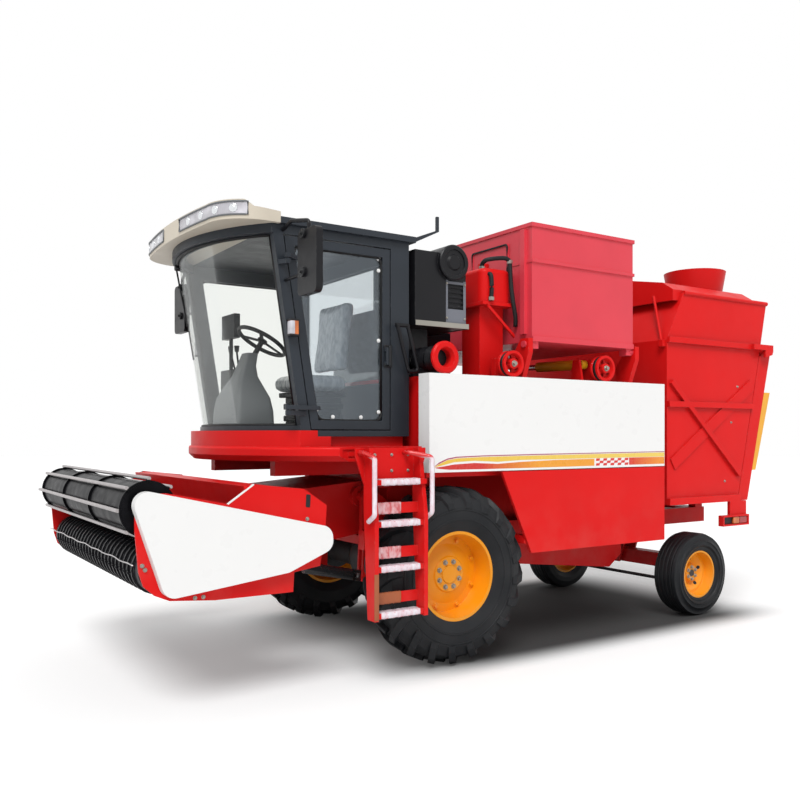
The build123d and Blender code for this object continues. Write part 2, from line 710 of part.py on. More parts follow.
def roof_plan(inset, z):
    """Roof plan with round front corners, moved in by inset."""
    radius = ROOF_CORNER_R - inset
    front = ROOF_FRONT_X - inset
    half = ROOF_HALF_Y - inset
    rear = ROOF_REAR_X + inset
    reach = radius * (1 - math.sqrt(0.5))
    edges = [
        Line((rear, half, z), (rear, -half, z)),
        Line((rear, -half, z), (front - radius, -half, z)),
        ThreePointArc((front - radius, -half, z), (front - reach, -half + reach, z), (front, -half + radius, z)),
        ThreePointArc((front, -half + radius, z), (front + 40, 0, z), (front, half - radius, z)),
        ThreePointArc((front, half - radius, z), (front - reach, half - reach, z), (front - radius, half, z)),
        Line((front - radius, half, z), (rear, half, z)),
    ]
    return make_face(edges)


LAMP_DEPTH = 45.0


def roof_lamp_band():
    """Outer band of the roof edge that the corner lamps fill."""
    z0 = CAB_TOP_Z + 28
    z1 = ROOF_EDGE_Z - 14
    outer = extrude(roof_plan(-1, z0), amount=z1 - z0, dir=(0, 0, 1))
    inner = extrude(roof_plan(LAMP_DEPTH, z0 - 1), amount=z1 - z0 + 2, dir=(0, 0, 1))
    window = block(ROOF_FRONT_X - LAMP_SWEEP, ROOF_FRONT_X + 60, 170, ROOF_HALF_Y + 20, z0, z1)
    return (outer - inner) & window


def roof_part(x0, x1, edge_z, top_z):
    """The roof between two places along x, upright up to edge_z and crowned from there to top_z."""
    slab = extrude(roof_plan(0, CAB_TOP_Z), amount=edge_z - CAB_TOP_Z, dir=(0, 0, 1))
    crown = loft([roof_plan(0, edge_z), roof_plan(150, top_z)], ruled=True)
    return (slab + crown) & block(x0, x1, -ROOF_HALF_Y - 10, ROOF_HALF_Y + 10, CAB_TOP_Z - 1, top_z + 1)


def cab_roof():
    y = ROOF_HALF_Y - 85
    tip = ROOF_REAR_X - 263
    shelf = across(
        [(ROOF_REAR_X + 1, REAR_EDGE_Z - 2), (tip, 3145), (tip, 3130), (ROOF_REAR_X + 1, CAB_TOP_Z + 2)],
        y - 20,
        y,
    )
    post = block(tip, tip + 20, y - 20, y, 3135, 3240)
    return joined(roof_part(ROOF_REAR_X - 1, VISOR_X, REAR_EDGE_Z, REAR_TOP_Z), shelf, post)


def roof_visor():
    visor = roof_part(VISOR_X, ROOF_FRONT_X + 60, ROOF_EDGE_Z, ROOF_TOP_Z)
    above = ROOF_TOP_Z + 40
    behind = VISOR_X - 1
    line = [(BROW_X, above), (BROW_X, ROOF_TOP_Z), (BROW_X - 110, REAR_TOP_Z + 12), (behind, REAR_TOP_Z), (behind, above)]
    visor = visor - across(line, -ROOF_HALF_Y - 20, ROOF_HALF_Y + 20)
    for cut in pair(roof_lamp_band()):
        visor = visor - cut
    return visor


def lamps():
    return pair(roof_lamp_band())


def seat():
    base = block(400, 760, -190, 190, CAB_FLOOR_Z + 40, 1960)
    cushion = block(370, 850, -255, 255, 1960, 2090)
    back = across([(370, 2090), (500, 2090), (430, 2700), (310, 2700)], -245, 245)
    return joined(base, cushion, back)


WHEEL_HUB = (1010.0, 0.0, 2330.0)
WHEEL_AXIS = (-0.5, 0.0, 0.866)


def steering_console():
    hub = Vector(*WHEEL_HUB)
    axis = Vector(*WHEEL_AXIS)
    foot = (1155, 0, CAB_FLOOR_Z + 40)
    stand = across([(1080, foot[2]), (1240, foot[2]), (1160, 2150), (1090, 2150)], -70, 70)
    shaft = rod(tuple(hub - axis * 210), tuple(hub - axis * 6), 20)
    y = -CAB_HALF_Y + 60 + CONSOLE_GAP
    box = block(880, 1060, y, y + 280, CAB_FLOOR_Z + 40, 2150)
    screen_post = block(1020, 1045, y + 140, y + 160, 2150, 2400)
    screen = block(1010, 1060, y + 20, y + 280, 2400, 2590)
    return [joined(stand, shaft), joined(box, screen_post, screen)]


def steering_wheel():
    hub = Vector(*WHEEL_HUB)
    axis = Vector(*WHEEL_AXIS)
    plane = Plane(origin=hub, x_dir=(0, 1, 0), z_dir=axis)
    rim = plane * (Torus(190, 15))
    boss = plane * (Pos(0, 0, 5) * Cylinder(38, 20))
    wheel = joined(rim, boss)
    for turn in (90, 210, 330):
        spoke = Rot(0, 0, turn) * (Pos(110, 0, 3) * Box(170, 26, 10))
        wheel = wheel + plane * spoke
    return wheel


def mirrors():
    near = CAB_HALF_Y + MIRROR_OUT
    hang = near + MIRROR_W / 2 - 12
    glass = block(1195, 1240, near, near + MIRROR_W, 2500, 2905)
    glass = fillet(glass.edges().filter_by(Axis.X), 38)
    path = [(1238, CAB_HALF_Y + 2.6, 2965), (1250, near - 65, 2990), (1218, hang, 2960), (1218, hang, 2880)]
    arm = pipe(path, 13, 30)
    stay = rod((1218, CAB_HALF_Y, 2640), (1218, near + 15, 2640), 11)
    lamp = block(1150, 1205, CAB_HALF_Y, CAB_HALF_Y + 50, 2280, 2380)
    return joined(glass, arm, stay), lamp


# Behind the cab

INLET = (80.0, 2178.0)


def air_intake():
    base = block(-60, 215, 280, 850, BODY_TOP_Z, 2110)
    stand = block(-40, 215, 300, 660, 2110, 2440)
    tray = block(-260, 215, 300, 880, 2420, 2450)
    case = block(-60, 215, 300, 870, 2450, 2960)
    box = block(-250, -59, 430, 860, 2450, 2830)
    grille = block(-225, -85, 848, 861, 2560, 2740)
    bars = []
    for step in range(5):
        z = 2577 + 36 * step
        bars.append(block(-226, -84, 845, 857, z - 7, z + 7))
    rim = [(0, 0), (0, 130), (478, 130), (485, 122), (485, 96), (474, 92), (474, 62), (488, 50), (488, 0)]
    drum = turned(rim, -115, 420, 2895)
    folds = [(0, 0), (0, 88)]
    for step in range(8):
        folds.append((20 + 40 * step, 74 if step % 2 else 94))
    folds += [(325, 88), (325, 0)]
    bellows = turned(folds, INLET[0], 660, INLET[1])
    return joined(base, stand, tray, case, box - grille, *bars, drum, bellows)


def hydraulic_tank():
    tank = block(-690, -400, 560, 880, 2640, 2900)
    tank = fillet(tank.edges().filter_by(Axis.Z), 70)
    tank = fillet(tank.faces().sort_by(Axis.Z)[-1].edges(), 35)
    neck = rod((-545, 700, 2899), (-545, 700, 2960), 45)
    shelf = block(-700, -390, 540, 890, 2615, 2641)
    stand = block(-660, -430, 580, 800, BODY_TOP_Z, 2616)
    return joined(tank, neck, shelf, stand)


PULLEYS = (
    # x, z, radius, y of the hub side
    (-545, 2162, 98, 985),
    (-1520, 2168, 104, 985),
)
SPOKE_GAPS = 5


def belt_drives():
    wheels = []
    for x, z, radius, y in PULLEYS:
        profile = [(0, 22), (0, 40), (30, 44), (30, radius - 34), (0, radius - 20), (0, radius), (20, radius)]
        profile += [(40, radius - 18), (60, radius), (80, radius), (80, radius - 20), (50, radius - 34), (50, 44)]
        profile += [(80, 40), (80, 22)]
        wheel = turned(profile, x, y, z)
        for step in range(SPOKE_GAPS):
            turn = 2 * math.pi * step / SPOKE_GAPS
            reach = (radius + 10) / 2
            gap = round_y(x + reach * math.cos(turn), z + reach * math.sin(turn), radius * 0.17, y - 1, y + 81)
            wheel = wheel - gap
        stub = round_y(x, z, 22, 905, y + 80)
        wheels.append(joined(wheel, stub))
    ring = [(0, 60), (0, 74), (52, 74), (52, 116), (72, 116), (82, 104), (82, 74), (52, 60)]
    wheels.append(turned(ring, INLET[0], 985, INLET[1]))
    return wheels


def belt_bearings():
    blocks = []
    for x, z, radius, y in PULLEYS:
        blocks.append(block(x - 50, x + 50, 860, 905, BODY_TOP_Z, z + 50))
    return blocks


# Pod bin

def bin_stand():
    parts = []
    arms = ((POD_X1 + MOVE_GAP, POD_X1 + MOVE_GAP + 45), (POD_X0 - MOVE_GAP - 45, POD_X0 - MOVE_GAP))
    for x0, x1 in arms:
        bracket = along(
            [
                (860, BODY_TOP_Z),
                (990, BODY_TOP_Z),
                (TIP_Y + 45, TIP_Z - 60),
                (TIP_Y + 45, TIP_Z + 45),
                (TIP_Y - 45, TIP_Z + 45),
                (860, 2200),
            ],
            x0,
            x1,
        )
        bore = rod((x0 - 1, TIP_Y, TIP_Z), (x1 + 1, TIP_Y, TIP_Z), TIP_PIN_R + RUN_FIT)
        parts.append(bracket - bore)
    for x in (POD_X1 - 110, POD_X0 + 50):
        parts.append(block(x, x + 60, -960, -860, BODY_TOP_Z, POD_Z0 - MOVE_GAP))
    y, z = POD_CYL_BASE
    ears = []
    for x in (POD_CYL_X - POD_CYL_R - CYL_SIDE_GAP - 20, POD_CYL_X + POD_CYL_R + CYL_SIDE_GAP):
        ears.append(along([(y - 70, BODY_TOP_Z), (y + 70, BODY_TOP_Z), (y + 35, z + 35), (y - 35, z + 35)], x, x + 20))
    reach = POD_CYL_R + CYL_SIDE_GAP + 20
    pin = rod((POD_CYL_X - reach, y, z), (POD_CYL_X + reach, y, z), POD_PIN_R)
    parts.append(joined(*ears, pin))
    return parts


POD_BANDS = (
    # bottom, top, how far it stands out at the sides, at front and back
    (POD_SEAM_Z - 12, POD_SEAM_Z + 12, 14, 6),
    (POD_Z1 - 30, POD_Z1, 12, 10),
    (POD_Z0, POD_Z0 + 40, 12, 0),
)


def pod_bin():
    outer = block(POD_X0, POD_X1, -POD_HALF_Y, POD_HALF_Y, POD_Z0, POD_Z1)
    inner = block(
        POD_X0 + POD_WALL,
        POD_X1 - POD_WALL,
        -POD_HALF_Y + POD_WALL,
        POD_HALF_Y - POD_WALL,
        POD_Z0 + POD_WALL,
        POD_Z1 + 1,
    )
    shell = outer - inner
    bands = []
    for z0, z1, out, reach in POD_BANDS:
        ring = block(POD_X0 - reach, POD_X1 + reach, -POD_HALF_Y - out, POD_HALF_Y + out, z0, z1)
        core = block(POD_X0 + 1, POD_X1 - 1, -POD_HALF_Y + 1, POD_HALF_Y - 1, z0 - 1, z1 + 1)
        bands.append(ring - core)
    pins = []
    for x0, x1 in ((POD_X1 - 30, POD_X1 + MOVE_GAP + 60), (POD_X0 - MOVE_GAP - 60, POD_X0 + 30)):
        pins.append(rod((x0, TIP_Y, TIP_Z), (x1, TIP_Y, TIP_Z), TIP_PIN_R))
    lugs = []
    for x0, x1 in ((POD_X1 - 70, POD_X1 - 10), (POD_X0 + 10, POD_X0 + 70)):
        lugs.append(block(x0, x1, TIP_Y - 60, TIP_Y + 20, TIP_Z - 30, POD_Z0 + 1))
    y, z = POD_CYL_EYE
    for x in (POD_CYL_X - 25 - CYL_SIDE_GAP - 20, POD_CYL_X + 25 + CYL_SIDE_GAP):
        lugs.append(along([(y - 90, POD_Z0 + 1), (y + 90, POD_Z0 + 1), (y + 40, z - 40), (y - 40, z - 40)], x, x + 20))
    hatch_x = POD_X1 - 1
    hatch = block(hatch_x, hatch_x + 13, 330, 780, 2880, 3130)
    hatch = hatch - block(hatch_x + 7, hatch_x + 14, 345, 765, 2895, 3115)
    posts = []
    for y in (-POD_HALF_Y + 60, POD_HALF_Y - 110):
        posts.append(block(hatch_x, hatch_x + 26, y, y + 50, POD_Z0 + 60, POD_Z1 - 40))
    return joined(shell, bands, pins, lugs, hatch, posts)


def pod_cylinder():
    y0, z0 = POD_CYL_BASE
    y1, z1 = POD_CYL_EYE
    x = POD_CYL_X
    base = Vector(x, y0, z0)
    eye = Vector(x, y1, z1)
    axis = (eye - base).normalized()
    barrel = rod(tuple(base + axis * 30), tuple(base + axis * 520), POD_CYL_R)
    barrel = barrel + rod((x - 30, y0, z0), (x + 30, y0, z0), 36)
    barrel = barrel - rod((x - 60, y0, z0), (x + 60, y0, z0), POD_PIN_R + RUN_FIT)
    barrel = barrel - rod(tuple(base + axis * 70), tuple(base + axis * 521), POD_ROD_R + RUN_FIT)
    stem = rod(tuple(base + axis * 110), tuple(eye - axis * 20), POD_ROD_R)
    ring = rod((x - 25, y1, z1), (x + 25, y1, z1), 36)
    return barrel, joined(stem, ring)


# Vine bin

VINE_REAR = ((VINE_FOOT_REAR_X, VINE_FLOOR_Z), (VINE_LIP_REAR_X, VINE_LIP_Z))


def vine_side_outline():
    return [
        (VINE_FRONT_X, VINE_FLOOR_Z),
        (VINE_FOOT_REAR_X, VINE_FLOOR_Z),
        (VINE_LIP_REAR_X, VINE_LIP_Z),
        (VINE_TOP_REAR_X, VINE_TOP_Z),
        (VINE_TOP_FRONT_X, VINE_TOP_Z),
        (VINE_FRONT_X, VINE_LIP_Z),
    ]


VINE_BRACES = (
    # front end, rear end, width, how far it stands out
    ((-2405, 1374), (-3540, 2102), 110, 12),
    ((-2380, 2095), (-3340, 1261), 45, 30),
)


def vine_bin():
    w = VINE_WALL
    outer = across(vine_side_outline(), -VINE_HALF_Y, VINE_HALF_Y)
    inner = across(
        [
            (VINE_FRONT_X - w, VINE_FLOOR_Z + w),
            (VINE_FOOT_REAR_X - 60, VINE_FLOOR_Z + w),
            (VINE_LIP_REAR_X - 60, VINE_LIP_Z - 20),
            (VINE_LIP_REAR_X + w, VINE_LIP_Z - 19),
            (VINE_TOP_REAR_X + w, VINE_TOP_Z - w),
            (VINE_TOP_FRONT_X - w, VINE_TOP_Z - w),
            (VINE_FRONT_X - w, VINE_LIP_Z),
        ],
        -VINE_HALF_Y + w,
        VINE_HALF_Y - w,
    )
    mouth = block(-3050, -2620, -480, 480, VINE_TOP_Z - 60, VINE_TOP_Z + 1)
    shell = outer - inner - mouth
    half = []
    for z, size in ((VINE_LIP_Z, 50), (1900, 50), (VINE_FLOOR_Z + 30, 60)):
        rear_x = on_line(*VINE_REAR, min(z, VINE_LIP_Z))
        half.append(block(rear_x, VINE_FRONT_X, VINE_HALF_Y - 1, VINE_HALF_Y + size * 0.6, z - size / 2, z + size / 2))
    half.append(rod((VINE_TOP_REAR_X, VINE_HALF_Y, VINE_TOP_Z), (VINE_TOP_FRONT_X, VINE_HALF_Y, VINE_TOP_Z), 20))
    y = VINE_HALF_Y
    for (x0, z0), (x1, z1), width, depth in VINE_BRACES:
        run = math.hypot(x1 - x0, z1 - z0)
        nx = -(z1 - z0) / run * width / 2
        nz = (x1 - x0) / run * width / 2
        strip = [(x0 + nx, z0 + nz), (x1 + nx, z1 + nz), (x1 - nx, z1 - nz), (x0 - nx, z0 - nz)]
        half.append(across(strip, y - 1, y + depth))
    ear = across(
        [
            (VINE_LIP_REAR_X, VINE_LIP_Z + 25),
            (VINE_LIP_REAR_X, GATE_AXIS_Z - 60),
            (GATE_AXIS_X - 30, GATE_AXIS_Z - 32),
            (GATE_AXIS_X - 45, GATE_AXIS_Z),
            (GATE_AXIS_X - 45, VINE_LIP_Z + 25),
        ],
        VINE_HALF_Y + 35,
        VINE_HALF_Y + 60,
    )
    half.append(joined(ear, block(VINE_LIP_REAR_X, -3500, VINE_HALF_Y - 1, VINE_HALF_Y + 60, VINE_LIP_Z - 25, VINE_LIP_Z + 25)))
    half.append(round_y(GATE_AXIS_X, GATE_AXIS_Z, GATE_PIN_R, VINE_HALF_Y - 70, VINE_HALF_Y + 40))
    lamp_y0 = VINE_HALF_Y + 6
    lamp_y1 = VINE_HALF_Y + 60
    lamp_x = VINE_FOOT_REAR_X
    half.append(block(lamp_x - 85, lamp_x + 155, lamp_y0, lamp_y1 - 24, VINE_FLOOR_Z - 128, VINE_FLOOR_Z + 1))
    lamp_box = block(lamp_x - 95, lamp_x + 285, lamp_y0, lamp_y1, VINE_FLOOR_Z - 222, VINE_FLOOR_Z - 125)
    recess = block(lamp_x - 80, lamp_x + 270, lamp_y1 - 30, lamp_y1 + 1, VINE_FLOOR_Z - 208, VINE_FLOOR_Z - 140)
    half.append(lamp_box - recess)
    feet = []
    for x in (-2420, -3240):
        feet.append(block(x - 50, x + 50, RAIL_Y0, RAIL_Y1, RAIL_Z1, VINE_FLOOR_Z + 1))
    return joined(shell, *[pair(item) for item in half], *[pair(item) for item in feet])


def gate_line(offset, z):
    """x of the tailgate's plane, moved back by offset, at height z."""
    return on_line(*VINE_REAR, z) - offset


def vine_gate():
    z0 = VINE_FLOOR_Z
    z1 = GATE_AXIS_Z - 40
    skin = across(
        [
            (gate_line(MOVE_GAP, z0), z0),
            (gate_line(MOVE_GAP + 25, z0), z0),
            (gate_line(MOVE_GAP + 25, z1), z1),
            (gate_line(MOVE_GAP, z1), z1),
        ],
        -VINE_HALF_Y,
        VINE_HALF_Y,
    )
    post = across(
        [
            (gate_line(MOVE_GAP + 24, z0), z0),
            (gate_line(MOVE_GAP + 24 + GATE_POST, z0), z0),
            (GATE_AXIS_X - GATE_HEAD, GATE_AXIS_Z - 8),
            (GATE_AXIS_X - GATE_HEAD + 15, GATE_AXIS_Z + 20),
            (GATE_AXIS_X + 20, GATE_AXIS_Z + 35),
            (gate_line(MOVE_GAP + 24, z1), z1),
        ],
        VINE_HALF_Y - 60,
        VINE_HALF_Y - 5,
    )
    bore = round_y(GATE_AXIS_X, GATE_AXIS_Z, GATE_PIN_R + RUN_FIT, VINE_HALF_Y - 75, VINE_HALF_Y)
    post = post - bore
    ribs = []
    for z in (1080, 1520, 1960, 2330):
        ribs.append(
            across(
                [
                    (gate_line(MOVE_GAP + 24, z - 25), z - 25),
                    (gate_line(MOVE_GAP + 70, z - 25), z - 25),
                    (gate_line(MOVE_GAP + 70, z + 25), z + 25),
                    (gate_line(MOVE_GAP + 24, z + 25), z + 25),
                ],
                -VINE_HALF_Y + 59,
                VINE_HALF_Y - 59,
            )
        )
    return joined(skin, ribs, pair(post))


def gate_boards():
    """Yellow boards on the back edges of the tailgate's posts."""
    z0 = 1300.0
    z1 = 2037.0
    back = ((gate_line(MOVE_GAP + 24 + GATE_POST, VINE_FLOOR_Z), VINE_FLOOR_Z), (GATE_AXIS_X - GATE_HEAD, GATE_AXIS_Z - 8))
    outline = [
        (on_line(*back, z0), z0),
        (on_line(*back, z0) - 55, z0),
        (on_line(*back, z1) - 92, z1),
        (on_line(*back, z1), z1),
    ]
    return pair(across(outline, VINE_HALF_Y - 50, VINE_HALF_Y - 5))


def cap_section(inset):
    """Cross-section of the vine bin's pitched cap in y and z, moved in by inset."""
    half = VINE_HALF_Y - 25 - inset
    eave = VINE_CAP_EAVE_Z - inset
    ridge = VINE_CAP_RIDGE_Z - inset
    return [
        (-half, VINE_CAP_SKIRT_Z),
        (half, VINE_CAP_SKIRT_Z),
        (half, VINE_TOP_Z + 25 - inset),
        (half - 115, eave),
        (0, ridge),
        (-half + 115, eave),
        (-half, VINE_TOP_Z + 25 - inset),
    ]


def vine_cap():
    w = VINE_WALL
    outer = along(cap_section(0), VINE_CAP_REAR_X, VINE_CAP_FRONT_X)
    inner = along(cap_section(w), VINE_CAP_REAR_X + w, VINE_CAP_FRONT_X - w)
    bin_hull = across(vine_side_outline(), -VINE_HALF_Y, VINE_HALF_Y)
    foot_z = VINE_CAP_EAVE_Z
    flare = (COLLAR_RIM_R - COLLAR_FOOT_R) / (COLLAR_TOP_Z - foot_z)
    at = Pos(COLLAR_X, COLLAR_Y, (foot_z + COLLAR_TOP_Z) / 2)
    tall = COLLAR_TOP_Z - foot_z
    collar = at * Cone(COLLAR_FOOT_R, COLLAR_RIM_R, tall)
    bore = at * Cone(COLLAR_FOOT_R - 12 - flare, COLLAR_RIM_R - 12 + flare, tall + 2)
    shell = (outer + collar) - inner - bore - bin_hull
    lug = block(VINE_FRONT_X, VINE_FRONT_X + 40, VINE_HALF_Y - 60, VINE_HALF_Y - 15, VINE_LIP_Z - 60, VINE_LIP_Z)
    stay = rod((VINE_CAP_FRONT_X - 5, 760, VINE_TOP_Z - 10), (VINE_FRONT_X + 25, VINE_HALF_Y - 38, VINE_LIP_Z - 20), 12)
    return joined(shell, lug, stay)


# Header

def feeder_house():
    walls = [
        [(BACK_WALL_X - 40, 1190), (BACK_WALL_X - 40, 1165), (399, 1264), (400, 1290)],
        [(BACK_WALL_X - 40, 735), (BACK_WALL_X - 40, 760), (399, 932), (400, 905)],
    ]
    inside = FEEDER_HALF_Y - FEEDER_PLATE
    top, floor = [across(wall, -inside, inside) for wall in walls]
    outline = [(BACK_WALL_X - 40, 1190), (BACK_WALL_X - 40, 735), (400, 905), (375, 1130), (400, 1290)]
    side = across(outline, inside, FEEDER_HALF_Y) + round_y(LIFT_X, LIFT_Z, 75, inside, FEEDER_HALF_Y + 45)
    side = side - round_y(LIFT_X, LIFT_Z, LIFT_SHAFT_R + RUN_FIT, -700, 700)
    x, z = LIFT_CYL_EYE
    cheeks = []
    for y in (LIFT_CYL_Y - 25 - CYL_SIDE_GAP - 16, LIFT_CYL_Y + 25 + CYL_SIDE_GAP):
        cheeks.append(across([(x - 110, 815), (x + 110, 782), (x + 35, z - 35), (x - 35, z - 35)], y, y + 16))
    floor = joined(floor, *[pair(item) for item in cheeks])
    return [top, floor, side, mirrored(side)]


HEADER_SIDE = [
    (1085, 1059),
    (1077, 1188),
    (1237, 1296),
    (1569, 1334),
    (1734, 1222),
    (2100, 1300),
    (2215, 1300),
    (2278, 1230),
    (2278, 1100),
    (2257, 866),
    (2231, 784),
    (2169, 728),
    (2083, 690),
    (1814, 666),
    (1428, 664),
    (1311, 664),
    (1304, 784),
    (1124, 809),
]

SHIELD_SIDE = [
    (2337, 1346),
    (2122, 706),
    (1365, 796),
    (1058, 922),
    (1072, 1054),
]
SHIELD_ROUND = 78.0


def header_frame():
    plates = pair(across(HEADER_SIDE, HEADER_HALF_Y - HEADER_PLATE, HEADER_HALF_Y))
    y = HEADER_HALF_Y - HEADER_PLATE + 1
    floor = across(
        [
            (1935, 770),
            (1900, 700),
            (1600, 690),
            (BACK_WALL_X - 40, 700),
            (BACK_WALL_X - 40, 1325),
            (BACK_WALL_X + 30, 1325),
            (BACK_WALL_X + 0, 1200),
            (BACK_WALL_X + 0, 800),
            (1680, 716),
            (1850, 716),
            (1905, 770),
        ],
        -y,
        y,
    )
    mouth = block(BACK_WALL_X - 45, BACK_WALL_X + 45, -FEEDER_HALF_Y + 20, FEEDER_HALF_Y - 20, 760, 1160)
    top_beam = block(1480, BACK_WALL_X - 39, -y, y, 1225, 1325)
    frame = joined(plates, floor - mouth, top_beam)
    bearings = ((REEL_X, REEL_Z, REEL_SHAFT_R), (PICKUP_X, PICKUP_Z, PICKUP_SHAFT_R), (AUGER_X, AUGER_Z, AUGER_SHAFT_R))
    for x, z, radius in bearings:
        frame = frame - round_y(x, z, radius + RUN_FIT, -HEADER_HALF_Y - 1, HEADER_HALF_Y + 1)
    return frame


def header_shields():
    shield = across_rounded(SHIELD_SIDE, SHIELD_ROUND, HEADER_HALF_Y, HEADER_HALF_Y + 62)
    for x, z, radius in ((REEL_X, REEL_Z, REEL_SHAFT_R), (PICKUP_X, PICKUP_Z, PICKUP_SHAFT_R), (AUGER_X, AUGER_Z, AUGER_SHAFT_R)):
        shield = shield - round_y(x, z, radius + 6, HEADER_HALF_Y - 1, HEADER_HALF_Y + 30)
    return pair(shield)


def press_reel():
    inside = HEADER_HALF_Y - HEADER_PLATE
    drum = round_y(REEL_X, REEL_Z, REEL_DRUM_R, -inside + 30, inside - 30)
    shaft = round_y(REEL_X, REEL_Z, REEL_SHAFT_R, -HEADER_HALF_Y - 10, HEADER_HALF_Y + 10)
    reel = joined(drum, shaft)
    for y in (-inside + 40, -370, 370, inside - 40):
        reel = reel + round_y(REEL_X, REEL_Z, REEL_DISC_R, y - 6, y + 6)
    for step in range(8):
        turn = math.radians(45 * step)
        x = REEL_X + (REEL_SLAT_R - SLAT_R) * math.cos(turn)
        z = REEL_Z + (REEL_SLAT_R - SLAT_R) * math.sin(turn)
        slat = round_y(x, z, SLAT_R, -inside + 15, inside - 15)
        for y in (-inside + 40, -370, 370, inside - 40):
            foot = block(-5, 5, y - 14, y + 14, REEL_DRUM_R - 4, REEL_SLAT_R - SLAT_R)
            slat = slat + Pos(REEL_X, 0, REEL_Z) * Rot(0, 90 - 45 * step, 0) * foot
        reel = reel + slat
    return reel


def pickup_drum():
    inside = HEADER_HALF_Y - HEADER_PLATE
    shaft = round_y(PICKUP_X, PICKUP_Z, PICKUP_SHAFT_R, -HEADER_HALF_Y - 10, HEADER_HALF_Y + 10)
    middle = Plane(origin=(PICKUP_X, 0, PICKUP_Z), x_dir=(1, 0, 0), z_dir=(0, -1, 0))
    tube = extrude(middle * RegularPolygon(PICKUP_DRUM_R, PICKUP_SIDES), amount=inside - 30, both=True)
    ribs = []
    tines = []
    count = int((inside - 60) / PICKUP_PITCH)
    for step in range(-count, count + 1):
        y = PICKUP_PITCH * step
        rib = extrude(middle * RegularPolygon(PICKUP_RIB_R, PICKUP_SIDES), amount=PICKUP_RIB_W / 2, both=True)
        ribs.append(Pos(0, y, 0) * rib)
        if step < count:
            for turn in range(0, 360, 90):
                tine = block(-4, 4, y + PICKUP_PITCH / 2 - 4, y + PICKUP_PITCH / 2 + 4, PICKUP_DRUM_R - 12, PICKUP_TIP_R - 1)
                tines.append(Pos(PICKUP_X, 0, PICKUP_Z) * Rot(0, turn + 7.5, 0) * tine)
    return (tube + ribs + tines) + shaft


def auger():
    inside = HEADER_HALF_Y - HEADER_PLATE
    tube = round_y(AUGER_X, AUGER_Z, AUGER_TUBE_R, -inside + 15, inside - 15)
    shaft = round_y(AUGER_X, AUGER_Z, AUGER_SHAFT_R, -HEADER_HALF_Y - 10, HEADER_HALF_Y + 10)
    start = inside - AUGER_PITCH * AUGER_TURNS - 30
    helix = Helix(AUGER_PITCH, AUGER_PITCH * AUGER_TURNS, AUGER_TUBE_R - 6, center=(AUGER_X, start, AUGER_Z), direction=(0, 1, 0))
    deep = AUGER_FLIGHT_R - AUGER_TUBE_R + 6
    origin = helix @ 0
    outward = (origin - Vector(AUGER_X, start, AUGER_Z)).normalized()
    section = Plane(origin=origin + outward * (deep / 2), x_dir=outward, z_dir=helix % 0) * Rectangle(deep, 8)
    flight = sweep(section, path=helix, is_frenet=True)
    paddles = []
    for turn in (0, 90, 180, 270):
        paddle = block(-4, 4, -start + 120, start - 120, AUGER_TUBE_R - 8, AUGER_FLIGHT_R - 25)
        paddles.append(Pos(AUGER_X, 0, AUGER_Z) * Rot(0, turn, 0) * paddle)
    return joined(tube, shaft, *paddles, flight, mirrored(flight))


def lift_cylinder():
    x0, z0 = LIFT_CYL_BASE
    x1, z1 = LIFT_CYL_EYE
    y = LIFT_CYL_Y
    base = Vector(x0, y, z0)
    eye = Vector(x1, y, z1)
    axis = (eye - base).normalized()
    barrel = rod(tuple(base + axis * 30), tuple(base + axis * 520), LIFT_CYL_R)
    barrel = barrel - block(x0 - 60, x0 + 120, y - 60, y - 14, 0, 2000) - block(x0 - 60, x0 + 120, y + 14, y + 60, 0, 2000)
    barrel = barrel + round_y(x0, z0, 34, y - 14, y + 14)
    barrel = barrel - round_y(x0, z0, LIFT_PIN_R + RUN_FIT, y - 60, y + 60)
    barrel = barrel - rod(tuple(base + axis * 60), tuple(base + axis * 521), LIFT_ROD_R + RUN_FIT)
    stem = rod(tuple(base + axis * 300), tuple(eye - axis * 20), LIFT_ROD_R)
    ring = round_y(x1, z1, 34, y - 25, y + 25)
    return barrel, joined(stem, ring)


# Wheels

def tyre(x, y, z, outer_r, width, rim_r):
    half = width / 2
    profile = [
        (-half * 0.8, rim_r),
        (-half, rim_r + (outer_r - rim_r) * 0.3),
        (-half, rim_r + (outer_r - rim_r) * 0.6),
        (-half * 0.88, outer_r - 12),
        (-half * 0.6, outer_r),
        (half * 0.6, outer_r),
        (half * 0.88, outer_r - 12),
        (half, rim_r + (outer_r - rim_r) * 0.6),
        (half, rim_r + (outer_r - rim_r) * 0.3),
        (half * 0.8, rim_r),
    ]
    return turned(profile, x, y, z)


LUG_TREAD = (
    # share of the half width, how far below the crown
    (0.97, 105.0),
    (0.86, 38.0),
    (0.45, 0.0),
)


def tread_profile(crown, half, rim_r, widen):
    """Tyre section with a rounded crown; widen stretches the wall."""
    side = [(0.8 * half, rim_r), (LUG_TREAD[0][0] * half * widen, rim_r + 75)]
    side += [(share * half * (widen if drop > 100 else 1), crown - drop) for share, drop in LUG_TREAD]
    return [(-w, r) for w, r in side] + [(w, r) for w, r in reversed(side)]


